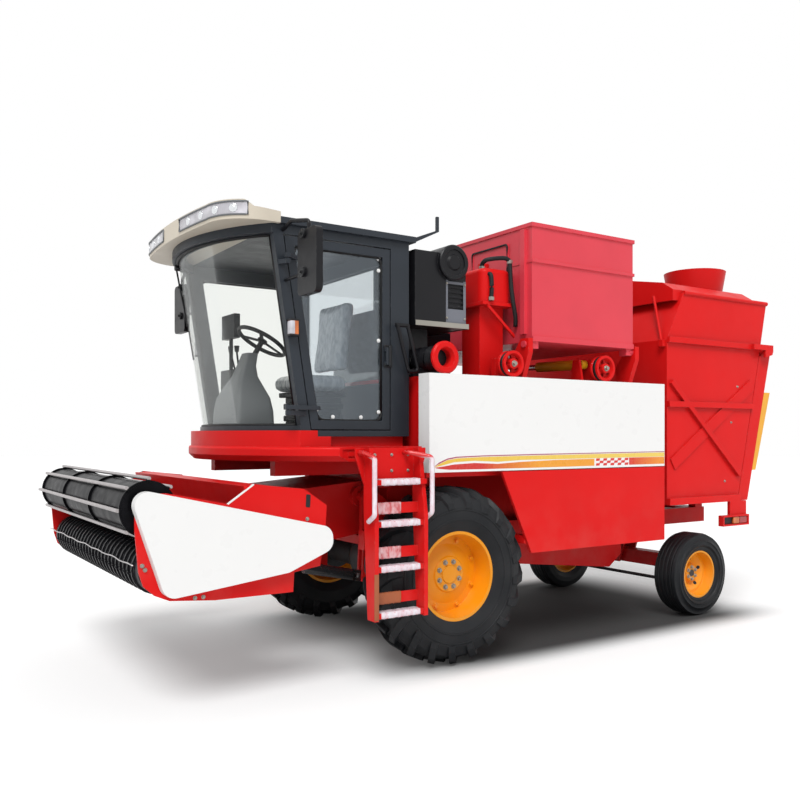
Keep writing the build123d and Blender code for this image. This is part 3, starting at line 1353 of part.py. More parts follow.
def lugged_tyre():
    """Drive tyre: a carcass with chevron bars, each cut to the tread's round outline."""
    half = DRIVE_TYRE_W / 2
    crown = DRIVE_TYRE_R - LUG_H
    carcass = turned(tread_profile(crown, half, DRIVE_RIM_R, 1.0), 0, 0, 0)
    envelope = turned(tread_profile(DRIVE_TYRE_R, half, DRIVE_RIM_R, 1.0 / LUG_TREAD[0][0]), 0, 0, 0)
    length = (half + 20) / math.cos(math.radians(LUG_LEAN))
    bar = Pos(0, half / 2, crown - 30) * Rot(0, 0, LUG_LEAN) * Box(LUG_W, length, 170)
    lug = bar & envelope
    pitch = 360 / LUG_COUNT
    lugs = []
    for step in range(LUG_COUNT):
        lugs.append(Rot(0, pitch * step, 0) * lug)
        lugs.append(Rot(0, pitch * (step + 0.5), 0) * mirrored(lug))
    return Pos(0, DRIVE_TRACK_Y, DRIVE_TYRE_R) * (carcass + lugs)


def drive_rim():
    half = DRIVE_TYRE_W / 2 * 0.8
    profile = [
        (-half, DRIVE_RIM_R),
        (-half, DRIVE_RIM_R - 22),
        (-30, DRIVE_RIM_R - 40),
        (-12, 215),
        (16, 128),
        (16, 100),
        (-60, 100),
        (-60, DRIVE_SHAFT_R + RUN_FIT),
        (36, DRIVE_SHAFT_R + RUN_FIT),
        (36, 0),
        (58, 0),
        (58, 62),
        (50, 66),
        (50, 122),
        (38, 132),
        (8, 215),
        (0, DRIVE_RIM_R - 45),
        (half, DRIVE_RIM_R - 22),
        (half, DRIVE_RIM_R),
    ]
    return turned(profile, 0, DRIVE_TRACK_Y, DRIVE_TYRE_R)


def steer_rim():
    half = STEER_TYRE_W / 2 * 0.8
    profile = [
        (-half, STEER_RIM_R),
        (-half, STEER_RIM_R - 16),
        (0, STEER_RIM_R - 30),
        (0, 150),
        (-40, 90),
        (-40, SPINDLE_R + RUN_FIT),
        (15, SPINDLE_R + RUN_FIT),
        (15, 70),
        (-28, 92),
        (14, 155),
        (14, STEER_RIM_R - 32),
        (half, STEER_RIM_R - 16),
        (half, STEER_RIM_R),
    ]
    return turned(profile, STEER_X, STEER_TRACK_Y, STEER_TYRE_R)


def save(node, *shapes):
    """Writes one node, in the shared frame, as a STEP file."""
    solids = []
    for item in shapes:
        for shape in item if isinstance(item, (list, tuple)) else [item]:
            solids.extend((Pos(FRAME_SHIFT_X, 0, 0) * shape).solids())
    export_step(Compound(children=solids) if len(solids) > 1 else solids[0], f"parts/{node}.step")


os.makedirs("parts", exist_ok=True)

save("chassis_frame", chassis_frame())
save("drive_axle", drive_axle())
save("steer_axle", steer_axle())
save("thresher_body", thresher_body())
save("engine_block", engine_block())
save("side_panels_upper", pair(panel_upper()))
save("side_panels_lower", pair(panel_lower()))
save("platform_deck", platform_deck())
save("ladder", ladder())
ladder_rails, cab_hoop = handrails()
save("handrails", ladder_rails)
save("cab_frame", cab_frame())
save("cab_walls", *cab_walls())
save("cab_glass", *cab_glass())
save("cab_roof", cab_roof())
save("roof_visor", roof_visor())
save("roof_lamps", lamps())
save("seat", seat())
save("steering_console", steering_console())
save("steering_wheel", steering_wheel())
mirror_left, marker_left = mirrors()
save("mirrors", pair(mirror_left), cab_hoop)
save("marker_lamps", pair(marker_left))
save("air_intake", air_intake())
save("hydraulic_tank", hydraulic_tank())
save("belt_drives", belt_drives())
save("bin_stand", bin_stand(), belt_bearings())
save("vine_cap", vine_cap())
save("cab_door", cab_door())
save("door_glass", door_glass())
save("pod_bin", pod_bin())
pod_barrel, pod_rod = pod_cylinder()
save("pod_cylinder_barrel", pod_barrel)
save("pod_cylinder_rod", pod_rod)
save("vine_bin", vine_bin())
save("vine_gate", vine_gate())
save("gate_boards", gate_boards())
save("feeder_house", feeder_house())
save("header_frame", header_frame())
save("header_shields", header_shields())
save("press_reel", press_reel())
save("pickup_drum", pickup_drum())
save("auger", auger())
lift_barrel, lift_rod = lift_cylinder()
save("lift_cylinder_barrels", pair(lift_barrel))
save("lift_cylinder_rods", pair(lift_rod))
drive_tyre = lugged_tyre()
steer_tyre = tyre(STEER_X, STEER_TRACK_Y, STEER_TYRE_R, STEER_TYRE_R, STEER_TYRE_W, STEER_RIM_R)
save("drive_tyre_left", drive_tyre)
save("drive_tyre_right", mirrored(drive_tyre))
save("drive_rim_left", drive_rim())
save("drive_rim_right", mirrored(drive_rim()))
save("steer_tyre_left", steer_tyre)
save("steer_tyre_right", mirrored(steer_tyre))
save("steer_rim_left", steer_rim())
save("steer_rim_right", mirrored(steer_rim()))
save("knuckle_left", knuckle())
save("knuckle_right", mirrored(knuckle()))
save("tie_rod", tie_rod())
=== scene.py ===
import json
import math

import bmesh
import bpy
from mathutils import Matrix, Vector


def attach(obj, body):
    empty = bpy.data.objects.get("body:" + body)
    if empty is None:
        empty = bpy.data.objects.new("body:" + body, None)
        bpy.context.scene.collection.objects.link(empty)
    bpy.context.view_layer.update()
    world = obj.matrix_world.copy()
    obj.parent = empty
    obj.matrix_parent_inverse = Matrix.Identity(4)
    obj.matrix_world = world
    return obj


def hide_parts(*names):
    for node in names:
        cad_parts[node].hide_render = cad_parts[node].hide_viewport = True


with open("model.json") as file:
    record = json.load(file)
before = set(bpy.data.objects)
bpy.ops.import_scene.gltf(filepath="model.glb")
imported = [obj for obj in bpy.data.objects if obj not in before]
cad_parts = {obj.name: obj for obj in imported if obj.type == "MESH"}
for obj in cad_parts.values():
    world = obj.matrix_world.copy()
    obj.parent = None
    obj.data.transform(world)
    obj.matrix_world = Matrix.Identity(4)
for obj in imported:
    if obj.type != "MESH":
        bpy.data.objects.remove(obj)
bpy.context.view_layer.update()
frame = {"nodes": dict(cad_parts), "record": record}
nodes = frame["nodes"]

# The drive axle stands at x = AXLE metres in the shared frame. Places are in millimetres from it, and
# radii, bevels and bolt sizes in metres.
AXLE = 0.736
SIDES = ((1, "left"), (-1, "right"))
DRIVE_WHEEL = (0, 941, 632)
STEER_WHEEL = (-2850, 845, 370)
REEL_X, REEL_Z = 2190, 1212


# Materials

MAT = {}
# Most of what a noise texture gives lies in this span.
NOISE_SPAN = (0.3, 0.7)


def new_material(name):
    """Adds a node material to MAT; returns its tree, its shader and the object's coordinates in metres."""
    MAT[name] = bpy.data.materials.new(name)
    MAT[name].use_nodes = True
    tree = MAT[name].node_tree
    coord = add(tree, "ShaderNodeTexCoord").outputs["Object"]
    return tree, tree.nodes["Principled BSDF"], coord


def add(tree, kind, inputs=(), **settings):
    """A shader node with its settings and unlinked input values."""
    made = tree.nodes.new(kind)
    for key, value in settings.items():
        setattr(made, key, value)
    for key, value in dict(inputs).items():
        made.inputs[key].default_value = value
    return made


def noise(tree, coord, scale, detail=3.0, stretch=None):
    """Noise at a real scale, in waves per metre, stretched along the axes if asked."""
    source = coord
    if stretch:
        mapping = add(tree, "ShaderNodeMapping", {"Scale": stretch})
        tree.links.new(coord, mapping.inputs["Vector"])
        source = mapping.outputs["Vector"]
    made = add(tree, "ShaderNodeTexNoise", {"Scale": scale, "Detail": detail})
    tree.links.new(source, made.inputs["Vector"])
    return made.outputs["Fac"]


def spread(tree, value, low, high, to_low, to_high):
    """A value's span from low to high moved to another span, and held at its ends."""
    made = add(
        tree,
        "ShaderNodeMapRange",
        {"From Min": low, "From Max": high, "To Min": to_low, "To Max": to_high},
    )
    tree.links.new(value, made.inputs["Value"])
    return made.outputs["Result"]


def mixed(tree, factor, first, second):
    """Colour mix; first and second are colours or sockets."""
    made = add(tree, "ShaderNodeMix", data_type="RGBA")
    tree.links.new(factor, made.inputs[0])
    for slot, value in ((6, first), (7, second)):
        if hasattr(value, "links"):
            tree.links.new(value, made.inputs[slot])
        else:
            made.inputs[slot].default_value = (*value, 1.0)
    return made.outputs[2]


def product(tree, first, second):
    made = add(tree, "ShaderNodeMath", operation="MULTIPLY")
    tree.links.new(first, made.inputs[0])
    tree.links.new(second, made.inputs[1])
    return made.outputs[0]


def vary(tree, value, low, high, socket):
    """Lets a socket run between two values as noise rises."""
    tree.links.new(spread(tree, value, *NOISE_SPAN, low, high), socket)


def axes(tree, coord):
    """The x, y and z of a coordinate."""
    made = add(tree, "ShaderNodeSeparateXYZ")
    tree.links.new(coord, made.inputs[0])
    return made.outputs


def bands(tree, coord, direction, inputs):
    """Wave bands along one axis."""
    made = add(tree, "ShaderNodeTexWave", inputs, bands_direction=direction)
    tree.links.new(coord, made.inputs["Vector"])
    return made.outputs["Fac"]


def bumped(tree, height, strength, distance, normal=None):
    """The normal of a bumpy surface; distance is the depth of the bumps in metres."""
    made = add(tree, "ShaderNodeBump", {"Strength": strength, "Distance": distance})
    tree.links.new(height, made.inputs["Height"])
    if normal:
        tree.links.new(normal, made.inputs["Normal"])
    return made.outputs["Normal"]


def edge_mask(tree, radius):
    """1 on sharp outer edges and 0 on open faces, with the rounded normal that goes with it."""
    bevel = add(tree, "ShaderNodeBevel", {"Radius": radius}, samples=4)
    geometry = add(tree, "ShaderNodeNewGeometry")
    dot = add(tree, "ShaderNodeVectorMath", operation="DOT_PRODUCT")
    tree.links.new(bevel.outputs["Normal"], dot.inputs[0])
    tree.links.new(geometry.outputs["Normal"], dot.inputs[1])
    return spread(tree, dot.outputs["Value"], 0.995, 0.86, 0.0, 1.0), bevel.outputs["Normal"]


def surface(
    name,
    colour,
    rough,
    metallic=0.0,
    coat=0.0,
    mottle=0.06,
    grain=380.0,
    bump=0.12,
    wear=None,
    wear_share=0.5,
    dust=None,
    edge=0.004,
    spec=0.5,
    bounce=None,
):
    """Procedural finish: broad tone changes, grain, worn edges and dust that gathers low down.

    bounce is the colour that the surface throws on its surroundings, where that isn't its own.
    """
    tree, shader, coord = new_material(name)
    tone = add(tree, "ShaderNodeHueSaturation", {"Color": (*colour, 1.0)})
    vary(tree, noise(tree, coord, 1.9), 1 - mottle, 1 + mottle, tone.inputs["Value"])
    shown = tone.outputs["Color"]
    edges, soft_normal = edge_mask(tree, edge)
    if wear:
        chips = spread(tree, noise(tree, coord, 46.0, 5.0), 0.5, 0.68, 0.0, wear_share)
        shown = mixed(tree, product(tree, edges, chips), shown, wear)
    if dust:
        low = spread(tree, axes(tree, coord)["Z"], 0.2, 1.3, 0.10, 0.0)
        veil = spread(tree, noise(tree, coord, 5.5, 6.0), 0.42, 0.75, 0.0, 1.0)
        shown = mixed(tree, product(tree, low, veil), shown, dust)
    if bounce:
        thrown = add(tree, "ShaderNodeLightPath").outputs["Is Diffuse Ray"]
        shown = mixed(tree, thrown, shown, bounce)
    tree.links.new(shown, shader.inputs["Base Color"])
    vary(tree, noise(tree, coord, 9.0, 4.0), rough - 0.05, rough + 0.07, shader.inputs["Roughness"])
    fine = noise(tree, coord, grain, 2.0)
    tree.links.new(bumped(tree, fine, bump, 0.0006, soft_normal), shader.inputs["Normal"])
    shader.inputs["Metallic"].default_value = metallic
    shader.inputs["Coat Weight"].default_value = coat
    shader.inputs["Coat Roughness"].default_value = 0.06
    shader.inputs["Specular IOR Level"].default_value = spec


def glass_material(name, tint, veil, veil_colour=(0.9, 0.92, 0.93)):
    """Thin window glass: clear, a little tinted, with a mirror-like skin and faint wipe marks."""
    tree, shader, coord = new_material(name)
    clear = add(tree, "ShaderNodeBsdfTransparent", {"Color": (*tint, 1.0)})
    shader.inputs["Base Color"].default_value = (*veil_colour, 1.0)
    shader.inputs["Metallic"].default_value = 1.0
    wiped = noise(tree, coord, 6.0, 4.0, (1.0, 1.0, 0.25))
    vary(tree, wiped, 0.02, 0.08, shader.inputs["Roughness"])
    shine = add(tree, "ShaderNodeLayerWeight", {"Blend": 0.2})
    streaks = noise(tree, coord, 1.6, 4.0, (1.0, 1.0, 0.35))
    film = spread(tree, streaks, 0.35, 0.75, veil, veil * 1.5 + 0.01)
    total = add(tree, "ShaderNodeMath", operation="ADD", use_clamp=True)
    tree.links.new(spread(tree, shine.outputs["Fresnel"], 0.0, 1.0, 0.0, 0.24), total.inputs[0])
    tree.links.new(film, total.inputs[1])
    blend = add(tree, "ShaderNodeMixShader")
    tree.links.new(total.outputs[0], blend.inputs[0])
    tree.links.new(clear.outputs[0], blend.inputs[1])
    tree.links.new(shader.outputs[0], blend.inputs[2])
    tree.links.new(blend.outputs[0], tree.nodes["Material Output"].inputs["Surface"])


def film_material(name, colour, under, bare_z=None, bare=None):
    """Wrinkled packing film over a colour that shows where it is stretched flat.

    Above bare_z metres there is no film, and the colour bare shows.
    """
    tree, shader, coord = new_material(name)
    folds = noise(tree, coord, 34.0, 6.0, (1.0, 1.0, 0.45))
    shown = mixed(tree, spread(tree, folds, 0.42, 0.66, 0.0, 1.0), under, colour)
    if bare:
        above = spread(tree, axes(tree, coord)["Z"], bare_z, bare_z + 0.012, 0.0, 1.0)
        shown = mixed(tree, above, shown, bare)
    tree.links.new(shown, shader.inputs["Base Color"])
    vary(tree, folds, 0.18, 0.42, shader.inputs["Roughness"])
    tree.links.new(bumped(tree, folds, 0.7, 0.006), shader.inputs["Normal"])
    shader.inputs["Coat Weight"].default_value = 0.5


def fabric_material(name, colour):
    """Woven seat cloth."""
    tree, shader, coord = new_material(name)
    thread = {"Scale": 95.0, "Distortion": 1.2, "Detail": 2.0}
    cloth = product(tree, bands(tree, coord, "X", thread), bands(tree, coord, "Z", thread))
    light = [min(1.0, c * 1.9 + 0.03) for c in colour]
    tree.links.new(mixed(tree, cloth, colour, light), shader.inputs["Base Color"])
    vary(tree, noise(tree, coord, 12.0), 0.75, 0.95, shader.inputs["Roughness"])
    tree.links.new(bumped(tree, cloth, 0.5, 0.002), shader.inputs["Normal"])
    shader.inputs["Sheen Weight"].default_value = 0.25


def lens_material(name, colour, ribs):
    """Moulded lamp cover with fine ribs."""
    tree, shader, coord = new_material(name)
    cells = add(tree, "ShaderNodeTexVoronoi", {"Scale": 9.0})
    tree.links.new(coord, cells.inputs["Vector"])
    dark = [c * 0.62 for c in colour]
    shown = mixed(tree, spread(tree, cells.outputs["Distance"], 0.1, 0.55, 0.0, 1.0), colour, dark)
    tree.links.new(shown, shader.inputs["Base Color"])
    vary(tree, noise(tree, coord, 20.0), 0.08, 0.2, shader.inputs["Roughness"])
    wave = bands(tree, coord, "Y", {"Scale": ribs, "Distortion": 0.4})
    tree.links.new(bumped(tree, wave, 0.35, 0.003), shader.inputs["Normal"])
    shader.inputs["Coat Weight"].default_value = 0.8
    shader.inputs["Coat Roughness"].default_value = 0.03


def rubber_material(name, colour, dust, bump, ribs=0.0):
    """Tyre rubber: matt, with a bloom of dust, and grooves across y if ribs are asked for."""
    tree, shader, coord = new_material(name)
    bloom = spread(tree, noise(tree, coord, 3.5, 6.0), 0.4, 0.78, 0.0, 0.4)
    tree.links.new(mixed(tree, bloom, colour, dust), shader.inputs["Base Color"])
    vary(tree, noise(tree, coord, 14.0, 4.0), 0.42, 0.62, shader.inputs["Roughness"])
    bevel = add(tree, "ShaderNodeBevel", {"Radius": 0.006}, samples=4)
    normal = bumped(tree, noise(tree, coord, 160.0, 4.0), bump, 0.002, bevel.outputs["Normal"])
    if ribs:
        grooves = spread(tree, bands(tree, coord, "Y", {"Scale": ribs}), 0.0, 0.3, 0.0, 1.0)
        normal = bumped(tree, grooves, 1.0, 0.008, normal)
    tree.links.new(normal, shader.inputs["Normal"])
    shader.inputs["Specular IOR Level"].default_value = 0.25


def reel_material(name, axis_x, axis_z, reach):
    """Black drum whose slats, past a reach from the axis, are bright bare metal."""
    tree, shader, coord = new_material(name)
    flat = add(tree, "ShaderNodeVectorMath", {1: (1.0, 0.0, 1.0)}, operation="MULTIPLY")
    tree.links.new(coord, flat.inputs[0])
    away = add(tree, "ShaderNodeVectorMath", {1: (axis_x, 0.0, axis_z)}, operation="DISTANCE")
    tree.links.new(flat.outputs["Vector"], away.inputs[0])
    bare = spread(tree, away.outputs["Value"], reach, reach + 0.004, 0.0, 1.0)
    tone = spread(tree, noise(tree, coord, 7.0, 4.0), 0.35, 0.7, 0.0, 1.0)
    paint = mixed(tree, tone, (0.004, 0.004, 0.005), (0.009, 0.009, 0.011))
    tree.links.new(mixed(tree, bare, paint, (0.44, 0.41, 0.41)), shader.inputs["Base Color"])
    tree.links.new(spread(tree, bare, 0.0, 1.0, 0.0, 0.8), shader.inputs["Metallic"])
    vary(tree, noise(tree, coord, 12.0, 4.0), 0.26, 0.4, shader.inputs["Roughness"])
    shader.inputs["Specular IOR Level"].default_value = 0.06


def stripe_material(name, front, rear, x_front, x_rear):
    """Stripe foil whose colour runs from one tone to another along x."""
    tree, shader, coord = new_material(name)
    run = spread(tree, axes(tree, coord)["X"], x_rear, x_front, 0.0, 1.0)
    speck = spread(tree, noise(tree, coord, 120.0, 3.0), 0.4, 0.8, 0.0, 0.06)
    shown = mixed(tree, speck, mixed(tree, run, rear, front), (1.0, 1.0, 1.0))
    tree.links.new(shown, shader.inputs["Base Color"])
    vary(tree, noise(tree, coord, 10.0), 0.22, 0.34, shader.inputs["Roughness"])


DUST = (0.55, 0.47, 0.40)
PRIMER = (0.42, 0.30, 0.27)
STEEL = (0.55, 0.55, 0.56)
# What the red paint throws on its surroundings, kept nearly grey so that the floor stays white.
RED_BOUNCE = (0.22, 0.13, 0.13)

surface(
    "red_paint",
    (0.76, 0.009, 0.009),
    0.4,
    coat=0.03,
    mottle=0.04,
    wear=PRIMER,
    dust=DUST,
    spec=0.14,
    bounce=RED_BOUNCE,
)
# The pod bin's red is pinker than the other red paint: a painted highlight, washed over the bin's red.
surface("bin_red_painted_highlight", (0.76, 0.050, 0.075), 0.38, coat=0.08, wear=PRIMER, dust=DUST, spec=0.4)
surface("white_paint", (0.92, 0.92, 0.91), 0.3, coat=0.05, mottle=0.006, wear=STEEL, spec=0.2)
surface("orange_paint", (0.90, 0.33, 0.006), 0.34, coat=0.1, wear=PRIMER, dust=DUST, spec=0.3)
surface("grey_paint", (0.026, 0.032, 0.041), 0.4, mottle=0.1, wear=STEEL, wear_share=0.25, spec=0.3)
surface("axle_paint", (0.035, 0.035, 0.038), 0.5, mottle=0.12, wear=STEEL, dust=DUST)
surface("black_paint", (0.008, 0.008, 0.010), 0.36, mottle=0.12, wear=STEEL, wear_share=0.25, spec=0.25)
film_material("film_wrap", (0.90, 0.86, 0.92), (0.84, 0.64, 0.70))
film_material("rail_film", (0.90, 0.86, 0.92), (0.84, 0.64, 0.70), 1.478, (0.70, 0.012, 0.012))
surface("cream_plastic", (0.68, 0.61, 0.50), 0.45, mottle=0.04, grain=700.0, bump=0.2)
surface("black_plastic", (0.012, 0.013, 0.015), 0.45, grain=900.0, bump=0.35, spec=0.35)
surface("panel_grey", (0.17, 0.18, 0.21), 0.42, mottle=0.08)
surface("grey_plastic", (0.16, 0.17, 0.18), 0.5, grain=800.0, bump=0.3)
fabric_material("seat_fabric", (0.17, 0.18, 0.20))
film_material("seat_wrap", (0.94, 0.96, 0.97), (0.60, 0.64, 0.68))
film_material("pink_film", (0.86, 0.55, 0.57), (0.66, 0.12, 0.13))
surface("rust_tape", (0.42, 0.115, 0.04), 0.5, mottle=0.2)
glass_material("clear_glass", (0.975, 0.98, 0.97), 0.004)
glass_material("door_glass", (0.88, 0.91, 0.93), 0.10, (0.55, 0.60, 0.65))
lens_material("lamp_lens", (0.80, 0.78, 0.84), 26.0)
lens_material("amber_lens", (0.90, 0.20, 0.02), 60.0)
lens_material("red_lens", (0.62, 0.01, 0.012), 60.0)
surface("yellow_paint", (0.90, 0.42, 0.012), 0.35, coat=0.2, wear=PRIMER)
surface("black_enamel", (0.02, 0.02, 0.022), 0.25, coat=0.4, wear=STEEL)
surface("polished_rod", (0.78, 0.78, 0.80), 0.14, metallic=1.0, mottle=0.03, bump=0.05)
surface("slat_metal", (0.62, 0.60, 0.60), 0.32, metallic=0.85, mottle=0.08, bump=0.1)
surface("zinc", (0.36, 0.34, 0.30), 0.34, metallic=0.9, mottle=0.1, grain=240.0)
surface("mirror_glass", (0.82, 0.84, 0.86), 0.03, metallic=1.0, mottle=0.01, bump=0.0)
reel_material("reel_metal", REEL_X / 1000 + AXLE, REEL_Z / 1000, 0.166)
rubber_material("tyre_rubber", (0.008, 0.009, 0.011), (0.05, 0.05, 0.052), 0.35)
rubber_material("ribbed_rubber", (0.008, 0.009, 0.011), (0.05, 0.05, 0.052), 0.3, 7.5)
rubber_material("seal_rubber", (0.010, 0.010, 0.011), (0.05, 0.05, 0.05), 0.2)
stripe_material("purple_foil", (0.42, 0.05, 0.13), (0.36, 0.06, 0.16), 0.9, -1.4)
stripe_material("yellow_foil", (0.86, 0.56, 0.06), (0.90, 0.66, 0.12), 0.9, -1.4)
stripe_material("orange_foil", (0.66, 0.020, 0.012), (0.90, 0.36, 0.015), 0.55, 0.0)
stripe_material("red_foil", (0.72, 0.022, 0.012), (0.72, 0.022, 0.012), 0.9, -1.4)
stripe_material("flame_foil", (0.72, 0.022, 0.012), (0.90, 0.30, 0.015), -0.98, -1.35)

SLOT_OF = {s["node"]: s["material_slot"] for s in frame["record"]["subparts"]}
OWN = {
    "pod_bin": "bin_red_painted_highlight",
    "press_reel": "reel_metal",
    "handrails": "rail_film",
    "steer_tyre_left": "ribbed_rubber",
    "steer_tyre_right": "ribbed_rubber",
    "door_glass": "door_glass",
    "drive_axle": "axle_paint",
    "knuckle_left": "axle_paint",
    "knuckle_right": "axle_paint",
    "tie_rod": "axle_paint",
}
for node_name, node_object in nodes.items():
    node_object.data.materials.clear()
    node_object.data.materials.append(MAT[OWN.get(node_name, SLOT_OF[node_name])])


# Mesh helpers


def place(x, y, z):
    """A point given in millimetres from the drive axle, in the shared frame in metres."""
    return Vector((x / 1000 + AXLE, y / 1000, z / 1000))


def finish_piece(name, mesh, body, material, bevel=0.0, smooth=False):
    """Turns a mesh into a piece that rides on a body; bevel is in metres."""
    data = bpy.data.meshes.new(name)
    bmesh.ops.recalc_face_normals(mesh, faces=mesh.faces[:])
    mesh.to_mesh(data)
    mesh.free()
    piece = bpy.data.objects.new(name, data)
    bpy.context.scene.collection.objects.link(piece)
    data.materials.append(MAT[material])
    if smooth:
        for face in data.polygons:
            face.use_smooth = True
    if bevel:
        softened = piece.modifiers.new("edges", "BEVEL")
        softened.width = bevel
        softened.segments = 2
        softened.limit_method = "ANGLE"
        softened.angle_limit = math.radians(40)
    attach(piece, body)


def add_box(mesh, x0, x1, y0, y1, z0, z1):
    """Box in millimetres from the drive axle."""
    corners = [place(x, y, z) for z in (z0, z1) for x, y in ((x0, y0), (x1, y0), (x1, y1), (x0, y1))]
    v = [mesh.verts.new(c) for c in corners]
    for quad in ((0, 3, 2, 1), (4, 5, 6, 7), (0, 1, 5, 4), (1, 2, 6, 5), (2, 3, 7, 6), (3, 0, 4, 7)):
        mesh.faces.new([v[i] for i in quad])


def circle(sides):
    """The cosine and sine of even steps round a circle."""
    return [(math.cos(2 * math.pi * i / sides), math.sin(2 * math.pi * i / sides)) for i in range(sides)]


def round_ring(mesh, centre, turn, radius, sides):
    """A ring of points round the turned z axis; all in metres."""
    return [mesh.verts.new(centre + turn @ Vector((radius * c, radius * s, 0))) for c, s in circle(sides)]


def bridge(mesh, rings):
    """Faces between each ring and the next."""
    for a, b in zip(rings, rings[1:]):
        for k in range(len(a)):
            j = (k + 1) % len(a)
            mesh.faces.new([a[k], a[j], b[j], b[k]])


def skin(mesh, rings):
    """A closed body through a row of rings."""
    mesh.faces.new(list(reversed(rings[0])))
    mesh.faces.new(rings[-1])
    bridge(mesh, rings)


def add_prism(mesh, outline, shift):
    """Prism of an outline of points, moved along shift; all in metres."""
    low = [mesh.verts.new(p) for p in outline]
    high = [mesh.verts.new(p + shift) for p in outline]
    mesh.faces.new(low)
    mesh.faces.new(list(reversed(high)))
    bridge(mesh, [low, high])


def side_prism(mesh, outline, y0, y1):
    """Prism of (x, z) points in millimetres between two places across the machine."""
    add_prism(mesh, [place(x, y0, z) for x, z in outline], Vector((0, (y1 - y0) / 1000, 0)))


def add_bar(mesh, start, end, radius, sides=20, radius_end=None):
    """Round bar between two points in metres."""
    turn = (end - start).to_track_quat("Z", "Y").to_matrix()
    tip = radius if radius_end is None else radius_end
    skin(mesh, [round_ring(mesh, start, turn, radius, sides), round_ring(mesh, end, turn, tip, sides)])


def add_bolt(mesh, at, direction, size):
    """Hexagon head on a washer; size is the head's width in metres."""
    out = direction.normalized()
    add_bar(mesh, at, at + out * size * 0.16, size * 0.8, 20)
    add_bar(mesh, at + out * size * 0.16, at + out * size * 0.75, size * 0.55, 6)


def add_tube(mesh, points, radius, sides=14):
    """Round tube along a line of points in metres."""
    rings = []
    last = len(points) - 1
    for i, point in enumerate(points):
        ahead = points[min(i + 1, last)] - points[max(i - 1, 0)]
        turn = ahead.to_track_quat("Z", "Y").to_matrix()
        rings.append(round_ring(mesh, point, turn, radius, sides))
    skin(mesh, rings)


def loop_tube(mesh, points, radius):
    add_tube(mesh, points + points[:1], radius, 10)


def add_turned(mesh, centre, profile, sides, side=1):
    """Closed ring turned about a line along y; the profile lists (offset along y, radius) in millimetres."""
    rings = []
    for w, r in profile:
        points = [centre + Vector((r * c, side * w, r * s)) / 1000 for c, s in circle(sides)]
        rings.append([mesh.verts.new(point) for point in points])
    bridge(mesh, rings + rings[:1])


def rounded(points, radius, steps=5):
    """Corners of a flat outline turned into arcs."""
    result = []
    count = len(points)
    for i, corner in enumerate(points):
        before = Vector(points[i - 1]) - Vector(corner)
        after = Vector(points[(i + 1) % count]) - Vector(corner)
        a = Vector(corner) + before.normalized() * radius
        b = Vector(corner) + after.normalized() * radius
        for k in range(steps + 1):
            t = k / steps
            result.append((1 - t) ** 2 * a + 2 * t * (1 - t) * Vector(corner) + t * t * b)
    return result


def box_piece(name, body, material, bevel, boxes):
    mesh = bmesh.new()
    for box in boxes:
        add_box(mesh, *box)
    finish_piece(name, mesh, body, material, bevel=bevel)


def bolt_piece(name, body, direction, size, bevel, spots):
    """Zinc bolts with their feet at spots in millimetres."""
    mesh = bmesh.new()
    for spot in spots:
        add_bolt(mesh, place(*spot), Vector(direction), size)
    finish_piece(name, mesh, body, "zinc", bevel=bevel)


# Stripes on the white side panels

PANEL_Y = 1130.0
FOIL = 0.8
CHECKS_X, CHECKS_Z = -1334, 1388
CHECK_LONG, CHECK_TALL, CHECK_LEAN = 41, 19, 6
STRIPES = {
    "purple_foil": [
        (238, 1408), (190, 1440), (120, 1466), (40, 1478), (-200, 1484), (-700, 1488), (-2146, 1494),
        (-2146, 1488), (-700, 1481), (-200, 1477), (40, 1470), (120, 1457), (190, 1430),
    ],
    "yellow_foil": [
        (232, 1407), (190, 1428), (120, 1454), (40, 1466), (-200, 1473), (-700, 1477), (-2146, 1484),
        (-2146, 1450), (-900, 1446), (-560, 1446), (-330, 1436), (-120, 1447), (60, 1440), (160, 1420),
    ],
    "orange_foil": [
        (230, 1404), (150, 1412), (60, 1424), (-120, 1431), (-330, 1421), (-560, 1432), (-900, 1440),
        (-1318, 1443), (-1318, 1388), (-700, 1386), (-200, 1386), (100, 1388), (190, 1396),
    ],
    "flame_foil": [(-1716, 1446), (-2146, 1447), (-2146, 1389), (-1716, 1388)],
}


def stripes():
    for side, word in SIDES:
        for material, outline in STRIPES.items():
            mesh = bmesh.new()
            side_prism(mesh, outline, side * PANEL_Y, side * (PANEL_Y + FOIL))
            finish_piece(f"stripe_{material.split('_')[0]}_{word}", mesh, "chassis", material)
        mesh = bmesh.new()
        for column in range(9):
            for row in range(3):
                if (column + row) % 2 == 0:
                    x = CHECKS_X - CHECK_LONG * column
                    z = CHECKS_Z + CHECK_TALL * row
                    rear, top = x - CHECK_LONG, z + CHECK_TALL
                    outline = [(x, z), (rear, z), (rear - CHECK_LEAN, top), (x - CHECK_LEAN, top)]
                    side_prism(mesh, outline, side * PANEL_Y, side * (PANEL_Y + FOIL))
        finish_piece(f"stripe_checks_{word}", mesh, "chassis", "red_foil")


stripes()


# Wheels: bolts, sidewall ridges and valves

def ring_of(body, name, material, centre, side, radius, offset, count, size):
    """A ring of bolts on a wheel's outer face."""
    mesh = bmesh.new()
    out = Vector((0, side, 0))
    for i in range(count):
        angle = 2 * math.pi * (i + 0.5) / count
        at = centre + Vector((math.cos(angle), 0, math.sin(angle))) * radius / 1000 + out * offset / 1000
        add_bolt(mesh, at, out, size)
    finish_piece(f"{body}_{name}", mesh, body, material, bevel=0.001)


VALVE_ANGLE = 1.1


